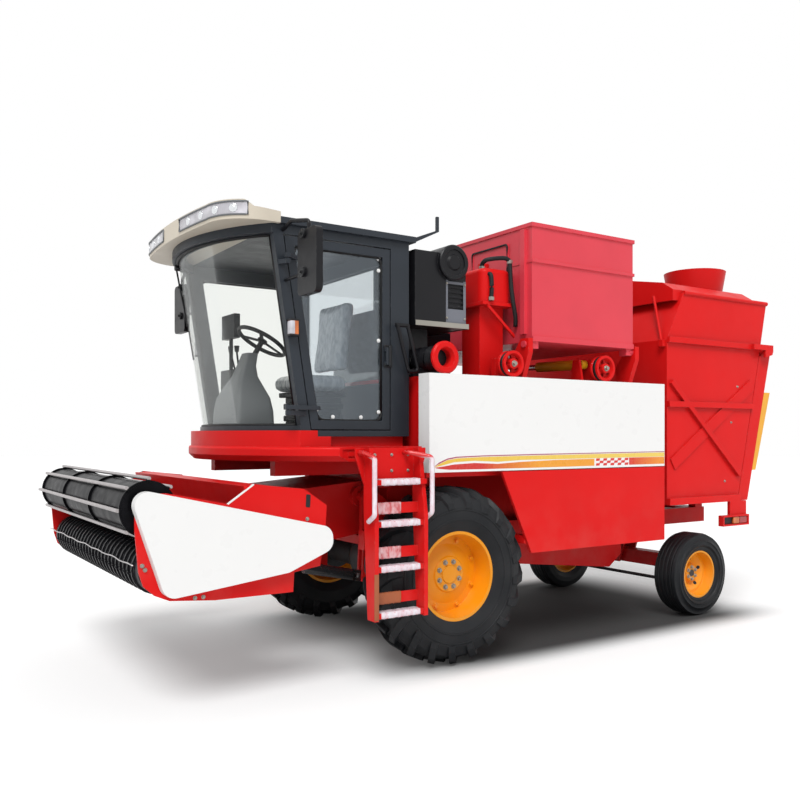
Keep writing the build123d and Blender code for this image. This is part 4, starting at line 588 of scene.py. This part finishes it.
def wheel_details(body, side, wheel, bolts, ridges, valve_r):
    """Bolts, sidewall ridges as (offset along y, radius) and a valve at a radius on a wheel's outer face."""
    x, y, z = wheel
    centre = place(x, side * y, z)
    for bolt_ring in bolts:
        name, material, *numbers = bolt_ring
        ring_of(body, name, material, centre, side, *numbers)
    mesh = bmesh.new()
    for offset, radius in ridges:
        foot, crest = offset - 4, offset + 4
        profile = [(foot, radius - 6), (crest, radius - 3), (crest, radius + 5), (foot, radius + 9)]
        add_turned(mesh, centre, profile, 72, side=side)
    finish_piece(f"{body}_sidewall_ridges", mesh, body, "tyre_rubber", smooth=True)
    mesh = bmesh.new()
    radial = Vector((math.cos(VALVE_ANGLE), 0, math.sin(VALVE_ANGLE)))
    out = Vector((0, side, 0))
    foot = centre + radial * valve_r / 1000 + out * 0.01
    add_tube(mesh, [foot, foot + out * 0.025, foot + out * 0.05 - radial * 0.012], 0.006, 12)
    finish_piece(f"{body}_valve", mesh, body, "seal_rubber", smooth=True)


DRIVE_BOLTS = (
    # name, material, circle radius, offset along y, count, head width in metres
    ("hub_bolts", "zinc", 94, 50, 8, 0.024),
    ("disc_bolts", "orange_paint", 244, 4, 8, 0.026),
)
STEER_BOLTS = (("hub_bolts", "zinc", 54, 15, 6, 0.022),)
for side, word in SIDES:
    wheel_details(f"drive_wheel_{word}", side, DRIVE_WHEEL, DRIVE_BOLTS, ((183, 404), (183, 470)), 268)
    wheel_details(f"steer_wheel_{word}", side, STEER_WHEEL, STEER_BOLTS, ((125, 266), (125, 300)), 178)


# Hand holes in the dished discs of the steered wheels, drawn as thin black discs: painted shade where the
# holes open

HOLES = 5
HOLE_CIRCLE, HOLE_OUT, HOLE_R = 124, -6, 0.017
# The dish's normal: inward along the radius, and outward along y.
DISH_SLOPE = Vector((0.555, 0.832))
for side, word in SIDES:
    x, y, z = STEER_WHEEL
    mesh = bmesh.new()
    for i in range(HOLES):
        angle = 2 * math.pi * (i + 0.25) / HOLES
        radial = Vector((math.cos(angle), 0, math.sin(angle)))
        spot = place(x, side * (y + HOLE_OUT), z) + radial * HOLE_CIRCLE / 1000
        normal = Vector((0, side * DISH_SLOPE.y, 0)) - radial * DISH_SLOPE.x
        add_bar(mesh, spot - normal * 0.004, spot + normal * 0.0015, HOLE_R, 24)
    body = f"steer_wheel_{word}"
    finish_piece(f"{body}_hand_hole_shade", mesh, body, "black_plastic", bevel=0.0005)


# Ladder: packing film on treads and risers

def add_sleeve(mesh, start, end, deep, tall, steps=36, sides=20):
    """Crumpled film sleeve round a flat bar along x; deep and tall are its half sizes in metres."""
    rings = []
    for i in range(steps + 1):
        centre = start.lerp(end, i / steps)
        ring = []
        for k, (c, s) in enumerate(circle(sides)):
            ripple = 1 + 0.05 * math.sin(2.3 * i + 3 * k) + 0.05 * math.sin(0.9 * i - 2 * k)
            y = deep * math.copysign(abs(c) ** 0.45, c) * ripple
            z = tall * math.copysign(abs(s) ** 0.45, s) * ripple
            ring.append(mesh.verts.new(centre + Vector((0, y, z))))
        rings.append(ring)
    bridge(mesh, rings)
    mesh.faces.new(rings[0])
    mesh.faces.new(rings[-1])


TREADS = (472, 768, 1058, 1327)


def ladder_film():
    for step, z in enumerate(TREADS):
        mesh = bmesh.new()
        add_sleeve(mesh, place(452, 1243, z - 2), place(752, 1243, z - 2), 0.042, 0.022)
        finish_piece(f"tread_film_{step}", mesh, "chassis", "film_wrap", smooth=True)
    for step, z in enumerate(TREADS[:-1]):
        mesh = bmesh.new()
        add_sleeve(mesh, place(560, 1208, z + 95), place(774, 1208, z + 95), 0.009, 0.038)
        material = "rust_tape" if step == 0 else "pink_film"
        finish_piece(f"riser_film_{step}", mesh, "chassis", material, smooth=True)
    box_piece("stringer_tape", "chassis", "rust_tape", 0.002, [(777, 810, 1286, 1292, 446, 742)])
    spots = [(x, 1162, z) for x in (470, 600, 730) for z in (1395, 1500)]
    bolt_piece("ladder_plate_bolts", "chassis", (0, 1, 0), 0.014, 0.0008, spots)


ladder_film()


# Cab outside: seals, door fittings, wiper, mirrors and lamps

FOOT_X, HEAD_X, FLOOR_Z, TOP_Z = 1050, 1267, 1620, 3000
CAB_Y = 850
SCREEN_Y, SCREEN_BULGE = 790, 290
SCREEN_R = (SCREEN_Y**2 + SCREEN_BULGE**2) / (2 * SCREEN_BULGE)
GLASS_Z0, GLASS_Z1 = 1692, 2940
DOOR_GAP = 8
PILLAR, SILL, HEADER_RAIL = 20, 40, 60
CORNER_R = 60
SEAL_R = 0.010


def pillar_lean(z):
    """How far the leaning front pillar is ahead of its foot at a height."""
    return (HEAD_X - FOOT_X) * (z - FLOOR_Z) / (TOP_Z - FLOOR_Z)


def on_screen(y, z, out):
    """A point on the windscreen's outer face, moved outward."""
    centre_x = FOOT_X + 35 + pillar_lean(z) + SCREEN_BULGE - SCREEN_R
    return place(centre_x + math.sqrt((SCREEN_R + out) ** 2 - y * y), y, z)


def window_outline(rear, inset):
    """A side window whose front edge leans with the pillar, inset from the cab's frame on three sides."""
    front, sill, head = FOOT_X - PILLAR - inset, FLOOR_Z + SILL + inset, TOP_Z - HEADER_RAIL - inset
    foot, tip = front + pillar_lean(sill), front + pillar_lean(head)
    return rounded([(rear, sill), (foot, sill), (tip, head), (rear, head)], CORNER_R)


def cab_seals():
    mesh = bmesh.new()
    span = [SCREEN_Y * (2 * i / 28 - 1) for i in range(29)]
    for z in (GLASS_Z0 + 5, GLASS_Z1 - 5):
        add_tube(mesh, [on_screen(y, z, 4) for y in span], 0.011, 10)
    for side, _ in SIDES:
        foot = on_screen(side * (SCREEN_Y - 4), GLASS_Z0 + 5, 4)
        head = on_screen(side * (SCREEN_Y - 4), GLASS_Z1 - 5, 4)
        add_tube(mesh, [foot, head], 0.012, 10)
    finish_piece("screen_seal", mesh, "chassis", "seal_rubber", smooth=True)

    door = window_outline(475, DOOR_GAP + 60)
    mesh = bmesh.new()
    loop_tube(mesh, [place(p.x, CAB_Y - 18, p.y) for p in door], SEAL_R)
    finish_piece("door_seal", mesh, "door", "seal_rubber", smooth=True)
    side_window = window_outline(351, 48)
    rear_window = rounded([(-700, 2010), (700, 2010), (700, 2892), (-700, 2892)], CORNER_R)
    mesh = bmesh.new()
    loop_tube(mesh, [place(p.x, -CAB_Y + 16, p.y) for p in side_window], SEAL_R)
    loop_tube(mesh, [place(268, p.x, p.y) for p in rear_window], SEAL_R)
    finish_piece("window_seals", mesh, "chassis", "seal_rubber", smooth=True)

    caps = ((497, 2862), (497, 2780), (497, 2290), (497, 1790), (640, 1752), (860, 1752), (985, 1800))
    mesh = bmesh.new()
    for x, z in caps:
        add_bar(mesh, place(x, CAB_Y - 22, z), place(x, CAB_Y - 15, z), 0.014, 20)
        add_bar(mesh, place(x, CAB_Y - 15, z), place(x, CAB_Y - 11, z), 0.009, 20)
    finish_piece("door_glass_caps", mesh, "door", "white_paint", bevel=0.001)

    plate = [
        (402, 2105), (468, 2105), (468, 2130), (446, 2150),
        (446, 2215), (468, 2235), (468, 2262), (402, 2262),
    ]
    grip = [(424, 2112), (446, 2112), (446, 2252), (424, 2252)]
    mesh = bmesh.new()
    side_prism(mesh, plate, CAB_Y, CAB_Y + 12)
    side_prism(mesh, grip, CAB_Y + 12, CAB_Y + 42)
    finish_piece("door_latch_plate", mesh, "door", "black_plastic", bevel=0.004)


def wiper():
    arm = ((-520, 2915, 26), (-540, 2800, 24), (-585, 2600, 20), (-600, 2480, 17))
    mesh = bmesh.new()
    add_bar(mesh, on_screen(-520, 2915, 2), on_screen(-520, 2915, 34), 0.022, 24)
    add_tube(mesh, [on_screen(y, z, out) for y, z, out in arm], 0.007, 10)
    finish_piece("wiper_arm", mesh, "chassis", "black_plastic", smooth=True)
    mesh = bmesh.new()
    blade = [on_screen(-575 - 0.05 * (2720 - z), z, 11) for z in range(2720, 2219, -50)]
    add_tube(mesh, blade, 0.006, 8)
    finish_piece("wiper_blade", mesh, "chassis", "seal_rubber", smooth=True)


def mirror_faces():
    outline = rounded([(1079, 2514), (1306, 2514), (1306, 2891), (1079, 2891)], 34)
    for side, word in SIDES:
        mesh = bmesh.new()
        add_prism(mesh, [place(1195, side * p.x, p.y) for p in outline], Vector((-0.003, 0, 0)))
        finish_piece(f"mirror_face_{word}", mesh, "chassis", "mirror_glass")
        mesh = bmesh.new()
        for z in (2640, 2880):
            add_bar(mesh, place(1240, side * 1150, z), place(1256, side * 1150, z), 0.030, 24)
            add_bolt(mesh, place(1256, side * 1150, z), Vector((1, 0, 0)), 0.018)
        finish_piece(f"mirror_clamps_{word}", mesh, "chassis", "black_plastic", bevel=0.002)


def marker_lamps():
    for side, word in SIDES:
        y = sorted((side * CAB_Y, side * (CAB_Y + 54)))
        box_piece(f"marker_clear_{word}", "chassis", "lamp_lens", 0.006, [(1176, 1209, *y, 2286, 2374)])
        case = [(1146, 1211, *y, 2274, 2286), (1146, 1211, *y, 2374, 2386), (1143, 1150, *y, 2274, 2386)]
        box_piece(f"marker_case_{word}", "chassis", "black_plastic", 0.003, case)


ROOF_FRONT, ROOF_Y, ROOF_R, ROOF_BULGE = 1660, 885, 290, 40
LAMP_Y0, LAMP_Z0, LAMP_Z1 = 172, 3028, 3111
LAMP_WRAP = 173


def roof_edge(turn, out):
    """Point and outward direction on the roof's front edge.

    turn runs from 0 at the lamp's inner end over 1 at the corner to 2 at its outer end.
    """
    half = ROOF_Y - ROOF_R
    if turn <= 1:
        y = LAMP_Y0 + (half - LAMP_Y0) * turn
        radius = (half**2 + ROOF_BULGE**2) / (2 * ROOF_BULGE)
        centre = Vector((ROOF_FRONT + ROOF_BULGE - radius, 0))
        normal = Vector((math.sqrt(radius**2 - y * y), y)) / radius
        return centre + normal * (radius + out), normal
    angle = math.acos((ROOF_R - LAMP_WRAP) / ROOF_R) * (turn - 1)
    normal = Vector((math.cos(angle), math.sin(angle)))
    return Vector((ROOF_FRONT - ROOF_R, half)) + normal * (ROOF_R + out), normal


def roof_lamp_trim():
    for side, word in SIDES:
        path = [(roof_edge(i / 16, 3)[0], LAMP_Z0) for i in range(33)]
        path += [(roof_edge(i / 16, 3)[0], LAMP_Z1) for i in range(32, -1, -1)]
        mesh = bmesh.new()
        loop_tube(mesh, [place(p.x, side * p.y, z) for p, z in path], 0.006)
        finish_piece(f"roof_lamp_bezel_{word}", mesh, "chassis", "grey_plastic", smooth=True)
        mesh = bmesh.new()
        for turn in (0.35, 0.8, 1.3, 1.72):
            spot, normal = roof_edge(turn, 0.5)
            at = place(spot.x, side * spot.y, (LAMP_Z0 + LAMP_Z1) / 2)
            out = Vector((normal.x, side * normal.y, 0))
            add_bar(mesh, at, at + out * 0.003, 0.030, 28, 0.026)
            add_bar(mesh, at + out * 0.003, at + out * 0.006, 0.016, 28, 0.010)
        finish_piece(f"roof_lamp_eyes_{word}", mesh, "chassis", "mirror_glass", bevel=0.0006)


cab_seals()
wiper()
mirror_faces()
marker_lamps()
roof_lamp_trim()


# Seat: soft cushion and back on a sprung base

SWELL_FRAMES = 20
SWELL_PRESSURE = 4.0
SWELL_CAP = 0.02
VOXEL = 0.012


def padded_piece(name, box, floor_z):
    """A cushion swollen by a short cloth simulation from a rounded block; nothing of it is below floor_z."""
    mesh = bmesh.new()
    add_box(mesh, *box)
    bmesh.ops.bevel(mesh, geom=mesh.edges[:], offset=0.03, segments=3, profile=0.6, affect="EDGES")
    data = bpy.data.meshes.new(name)
    mesh.to_mesh(data)
    mesh.free()
    block = bpy.data.objects.new(f"{name}_block", data)
    bpy.context.scene.collection.objects.link(block)
    remesh = block.modifiers.new("remesh", "REMESH")
    remesh.mode = "VOXEL"
    remesh.voxel_size = VOXEL
    graph = bpy.context.evaluated_depsgraph_get()
    voxels = bpy.data.meshes.new_from_object(block.evaluated_get(graph))
    bpy.data.objects.remove(block)
    piece = bpy.data.objects.new(name, voxels)
    bpy.context.scene.collection.objects.link(piece)
    swell(piece)
    for vertex in piece.data.vertices:
        vertex.co.z = max(vertex.co.z, floor_z / 1000)
    for face in piece.data.polygons:
        face.use_smooth = True
    soft = piece.modifiers.new("smooth", "SUBSURF")
    soft.levels = 1
    soft.render_levels = 1
    return piece


def swell(piece):
    """Pressure simulation; no point moves further than SWELL_CAP metres."""
    scene = bpy.context.scene
    rest = [v.co.copy() for v in piece.data.vertices]
    cloth = piece.modifiers.new("cloth", "CLOTH")
    cloth.settings.quality = 4
    cloth.settings.use_pressure = True
    cloth.settings.uniform_pressure_force = SWELL_PRESSURE
    cloth.settings.effector_weights.gravity = 0.0
    cloth.point_cache.frame_start = 1
    cloth.point_cache.frame_end = SWELL_FRAMES
    for step in range(1, SWELL_FRAMES + 1):
        scene.frame_set(step)
    graph = bpy.context.evaluated_depsgraph_get()
    moved = [v.co.copy() for v in piece.evaluated_get(graph).data.vertices]
    piece.modifiers.remove(cloth)
    scene.frame_set(1)
    for vertex, old, new in zip(piece.data.vertices, rest, moved):
        shift = new - old
        if shift.length > SWELL_CAP:
            shift = shift.normalized() * SWELL_CAP
        vertex.co = old + shift


def lean_back(piece, foot_z, slope):
    """Leans a back cushion rearward above its foot."""
    for vertex in piece.data.vertices:
        vertex.co.x -= (vertex.co.z - foot_z / 1000) * slope


def seat():
    cushion = padded_piece("seat_cushion", (392, 826, -232, 232, 1982, 2066), 1962)
    back = padded_piece("seat_back", (392, 478, -222, 222, 2112, 2668), 2092)
    lean_back(back, 2092, 0.115)
    for piece in (cushion, back):
        piece.data.materials.clear()
        piece.data.materials.append(MAT["seat_wrap"])
        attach(piece, "chassis")
        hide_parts("seat")
    boxes = [(405, 755, -185, 185, 1660, 1690)]
    for fold in range(5):
        out = 12 if fold % 2 else 0
        z = 1690 + 46 * fold
        boxes.append((420 - out, 740 + out, -165 - out, 165 + out, z, z + 46))
    boxes.append((400, 780, -200, 200, 1920, 1958))
    box_piece("seat_base", "chassis", "black_plastic", 0.008, boxes)


seat()


# Cab inside: display glass, levers and column cover

def cab_inside():
    box_piece("display_glass", "chassis", "black_enamel", 0.002, [(1004, 1010, -676, -444, 2414, 2576)])
    mesh = bmesh.new()
    for y, reach in ((-640, 40), (-560, 20)):
        foot = place(960, y, 2150)
        knob = place(960 + reach, y, 2300)
        add_tube(mesh, [foot, foot.lerp(knob, 0.5), knob], 0.008, 12)
        add_bar(mesh, knob, knob + Vector((0, 0, 0.05)), 0.016, 20, 0.022)
    finish_piece("hand_levers", mesh, "chassis", "black_plastic", bevel=0.002)
    mesh = bmesh.new()
    rows = (
        # rear x, front x, half width, height
        (1010, 1310, 250, 1662),
        (1015, 1308, 244, 1800),
        (1030, 1295, 222, 1900),
        (1055, 1262, 160, 1985),
        (1072, 1222, 96, 2060),
        (1080, 1190, 76, 2140),
        (1060, 1150, 62, 2236),
    )
    rings = []
    for x0, x1, half, z in rows:
        ring = rounded([(x0, -half), (x1, -half), (x1, half), (x0, half)], min(0.4 * half, 40))
        rings.append([mesh.verts.new(place(p.x, p.y, z)) for p in ring])
    bridge(mesh, rings)
    mesh.faces.new(rings[0])
    mesh.faces.new(rings[-1])
    finish_piece("column_cover", mesh, "chassis", "grey_plastic", smooth=True, bevel=0.004)


cab_inside()


# Behind the cab: tray, grille, tank pipes, belts and strut

def smoothed(points, cuts=4, rounds=3):
    """A line of points cut finer, with its corners drawn out."""
    line = []
    for a, b in zip(points, points[1:]):
        line += [a.lerp(b, t / cuts) for t in range(cuts)]
    line.append(points[-1])
    for _ in range(rounds):
        inner = [(before + here * 2 + after) / 4 for before, here, after in zip(line, line[1:], line[2:])]
        line = [line[0], *inner, line[-1]]
    return line


TRAY = ((-262, 217, 880, 883, 2416, 2454), (-263, -260, 300, 883, 2416, 2454))
GRILLE = (
    (-250, -226, 860, 862, 2452, 2770),
    (-84, -60, 860, 862, 2452, 2770),
    (-226, -84, 860, 862, 2452, 2558),
    (-226, -84, 860, 862, 2742, 2762),
)
PIPES = (
    (
        (-450, 800, 2890), (-450, 800, 2935), (-450, 840, 2962),
        (-520, 880, 2975), (-610, 900, 2985), (-640, 905, 2960),
    ),
    (
        (-640, 905, 2960), (-642, 908, 2880), (-648, 912, 2760),
        (-668, 912, 2640), (-700, 905, 2540), (-718, 880, 2470),
    ),
    ((-460, 878, 2850), (-460, 900, 2845), (-462, 905, 2780), (-462, 905, 2700), (-462, 895, 2652)),
)
PIPE_R = 0.017
UNIONS = ((-640, 905, 2955), (-450, 800, 2905), (-462, 900, 2660))
# x, z and radius
PULLEYS = ((-545, 2162, 98), (-1520, 2168, 104))


def rear_of_cab():
    box_piece("tray_edge", "chassis", "zinc", 0.001, TRAY)
    box_piece("grille_frame", "chassis", "panel_grey", 0.001, GRILLE)
    spots = [(x, 862, z) for x in (-238, -72) for z in (2490, 2745)]
    bolt_piece("grille_bolts", "chassis", (0, 1, 0), 0.012, 0.001, spots)

    mesh = bmesh.new()
    for points in PIPES:
        add_tube(mesh, smoothed([place(*p) for p in points]), PIPE_R, 16)
    finish_piece("tank_pipes", mesh, "chassis", "seal_rubber", smooth=True)
    half = Vector((0, 0, 0.014))
    mesh = bmesh.new()
    for spot in UNIONS:
        add_bar(mesh, place(*spot) - half, place(*spot) + half, 0.024, 6)
    finish_piece("pipe_unions", mesh, "chassis", "zinc", bevel=0.002)
    for index, (x, z, radius) in enumerate(PULLEYS):
        mesh = bmesh.new()
        profile = [(33, radius - 17), (47, radius - 17), (53, radius - 4), (27, radius - 4)]
        add_turned(mesh, place(x, 985, z), profile, 56)
        finish_piece(f"belt_{index}", mesh, "chassis", "seal_rubber", smooth=True)
        bolt_piece(f"pulley_nut_{index}", "chassis", (0, 1, 0), 0.03, 0.001, [(x, 1065, z)])
    mesh = bmesh.new()
    side_prism(mesh, [(-430, 2622), (-430, 2592), (-690, 2376), (-690, 2406)], 886, 906)
    finish_piece("tank_strut", mesh, "chassis", "red_paint", bevel=0.003)


rear_of_cab()


# Bolts on the header's end plates

END_PLATE_Y = 1150
END_PLATE_BOLTS = ((1935, 692), (1885, 693), (1215, 1108), (2238, 902), (2222, 878))
for side, word in SIDES:
    spots = [(x, side * END_PLATE_Y, z) for x, z in END_PLATE_BOLTS]
    bolt_piece(f"end_plate_bolts_{word}", "header", (0, side, 0), 0.016, 0.0006, spots)


# Pod bin's hatch and rear lamps

REAR_LAMPS = (
    # name, material, bevel, rear x, front x, inner y, outer y
    ("red", "red_lens", 0.006, -3402, -3290, 1031, 1052),
    ("amber", "amber_lens", 0.006, -3286, -3200, 1031, 1052),
    ("back", "black_plastic", 0.002, -3198, -3057, 1030.5, 1034),
)


def bins():
    mesh = bmesh.new()
    add_bar(mesh, place(-724, 555, 2868), place(-712, 555, 2868), 0.016, 20)
    add_tube(mesh, [place(-714, 555, 2868), place(-706, 570, 2868), place(-706, 640, 2868)], 0.007, 12)
    finish_piece("hatch_latch", mesh, "pod_bin", "black_plastic", smooth=True)
    hatch = rounded([(334, 2884), (776, 2884), (776, 3126), (334, 3126)], 24)
    mesh = bmesh.new()
    loop_tube(mesh, [place(-724, p.x, p.y) for p in hatch], 0.008)
    finish_piece("hatch_seal", mesh, "pod_bin", "seal_rubber", smooth=True)
    for side, word in SIDES:
        for name, material, bevel, x0, x1, inner, outer in REAR_LAMPS:
            box = (x0, x1, *sorted((side * inner, side * outer)), 815, 877)
            box_piece(f"rear_lamp_{name}_{word}", "chassis", material, bevel, [box])


bins()


# Bolts on the vine bin's walls

VINE_BOLTS = ((-3232, 1747), (-3137, 1207), (-3326, 2080))
for side, word in SIDES:
    spots = [(x, side * 1000, z) for x, z in VINE_BOLTS]
    bolt_piece(f"vine_bin_bolts_{word}", "chassis", (0, side, 0), 0.014, 0.0006, spots)


# Header: edges of the end plates, their slots drawn as thin black plates of painted shade, and the pick-up
# wire

def header_trim():
    for side, word in SIDES:
        mesh = bmesh.new()
        edge = [(1738, 1224), (1572, 1337), (1568, 1331), (1734, 1218)]
        side_prism(mesh, edge, side * (END_PLATE_Y - 18), side * (END_PLATE_Y + 2))
        finish_piece(f"end_plate_edge_{word}", mesh, "header", "white_paint", bevel=0.001)
        # The slot is a black plate on the end plate's face: painted shade where the opening is.
        mesh = bmesh.new()
        outline = rounded([(1196, 1178), (1226, 1182), (1222, 1262), (1192, 1258)], 8)
        add_prism(mesh, [place(p.x, side * END_PLATE_Y, p.y) for p in outline], Vector((0, side * 0.002, 0)))
        finish_piece(f"end_plate_slot_shade_{word}", mesh, "header", "black_plastic")
    steps, half = 24, 1134
    wire = []
    for i in range(steps + 1):
        x = 2284 + 3 * math.sin(0.9 * i)
        z = 905 + 4 * math.sin(1.7 * i)
        wire.append(place(x, -half + 2 * half * i / steps, z))
    mesh = bmesh.new()
    add_tube(mesh, wire, 0.004, 8)
    finish_piece("pickup_wire", mesh, "header", "slat_metal", smooth=True)


header_trim()


# Studio and camera

FLOOR_R = 60.0
# The floor's own tone, and the darker tone of the shadow painted into it under the machine.
FLOOR_TONE, PAINTED_SHADOW_TONE = (0.93, 0.93, 0.93), (0.04, 0.04, 0.04)
FLOOR_LIFT = 0.2
WORLD_FILL = 0.47
KEY_ENERGY, KEY_SPREAD, KEY_AIM = 2.1, 28, (-0.42, -0.52, -0.78)
EYE, EYE_AIM = (4.3425, 5.858, 1.630), (-0.5476, -0.8368, 0.0)
LENS, SENSOR, SHIFT_Y = 37.98, 36.0, 0.04375


def fade(tree, value, full, none):
    """1 on the side of full, 0 on the side of none, smooth between."""
    made = add(
        tree,
        "ShaderNodeMapRange",
        {"From Min": full, "From Max": none, "To Min": 1.0, "To Max": 0.0},
        interpolation_type="SMOOTHSTEP",
    )
    tree.links.new(value, made.inputs["Value"])
    return made.outputs["Result"]


def painted_shadow_mask(tree, coord):
    """Mask of the shadow painted on the floor under the body: 1 in its middle, 0 outside."""
    spot = axes(tree, coord)
    across = add(tree, "ShaderNodeMath", operation="ABSOLUTE")
    tree.links.new(spot["Y"], across.inputs[0])
    along = product(tree, fade(tree, spot["X"], 0.4, 1.7), fade(tree, spot["X"], -2.2, -3.15))
    return product(tree, along, fade(tree, across.outputs[0], 1.0, 1.42))


def studio():
    mesh = bmesh.new()
    bmesh.ops.create_circle(mesh, cap_ends=True, radius=FLOOR_R, segments=96)
    data = bpy.data.meshes.new("floor")
    mesh.to_mesh(data)
    mesh.free()
    floor = bpy.data.objects.new("floor", data)
    floor.location.z = -0.001
    bpy.context.scene.collection.objects.link(floor)
    tree, shader, coord = new_material("floor")
    vary(tree, noise(tree, coord, 0.8), 0.85, 0.95, shader.inputs["Roughness"])
    # A shadow is painted into the floor's colour under the machine, and the camera-ray lift is held off
    # inside it.
    painted_shadow_weight = painted_shadow_mask(tree, coord)
    tree.links.new(mixed(tree, painted_shadow_weight, FLOOR_TONE, PAINTED_SHADOW_TONE), shader.inputs["Base Color"])
    shader.inputs["Emission Color"].default_value = (1.0, 1.0, 1.0, 1.0)
    path = add(tree, "ShaderNodeLightPath")
    lifted = spread(tree, path.outputs["Is Camera Ray"], 0.0, 1.0, 0.0, FLOOR_LIFT)
    outside = spread(tree, painted_shadow_weight, 0.0, 1.0, 1.0, 0.0)
    tree.links.new(product(tree, lifted, outside), shader.inputs["Emission Strength"])
    data.materials.append(MAT["floor"])

    world = bpy.data.worlds.new("studio")
    bpy.context.scene.world = world
    world.use_nodes = True
    tree = world.node_tree
    path = add(tree, "ShaderNodeLightPath")
    seen = add(tree, "ShaderNodeMath", operation="MAXIMUM")
    tree.links.new(path.outputs["Is Camera Ray"], seen.inputs[0])
    tree.links.new(path.outputs["Is Transmission Ray"], seen.inputs[1])
    shown = add(tree, "ShaderNodeMath", operation="MAXIMUM")
    tree.links.new(seen.outputs[0], shown.inputs[0])
    tree.links.new(path.outputs["Is Glossy Ray"], shown.inputs[1])
    strength = spread(tree, shown.outputs[0], 0.0, 1.0, WORLD_FILL, 1.0)
    back = tree.nodes["Background"]
    back.inputs["Color"].default_value = (1.0, 1.0, 1.0, 1.0)
    tree.links.new(strength, back.inputs["Strength"])

    sun = bpy.data.lights.new("key", "SUN")
    sun.energy = KEY_ENERGY
    sun.angle = math.radians(KEY_SPREAD)
    key = bpy.data.objects.new("key", sun)
    key.rotation_euler = Vector(KEY_AIM).to_track_quat("-Z", "Y").to_euler()
    bpy.context.scene.collection.objects.link(key)


def camera():
    data = bpy.data.cameras.new("camera")
    data.lens = LENS
    data.sensor_width = SENSOR
    data.shift_y = SHIFT_Y
    data.clip_end = 200.0
    eye = bpy.data.objects.new("camera", data)
    eye.location = EYE
    eye.rotation_euler = Vector(EYE_AIM).to_track_quat("-Z", "Y").to_euler()
    bpy.context.scene.collection.objects.link(eye)
    bpy.context.scene.camera = eye


studio()
camera()
bpy.context.scene.view_settings.view_transform = "Standard"
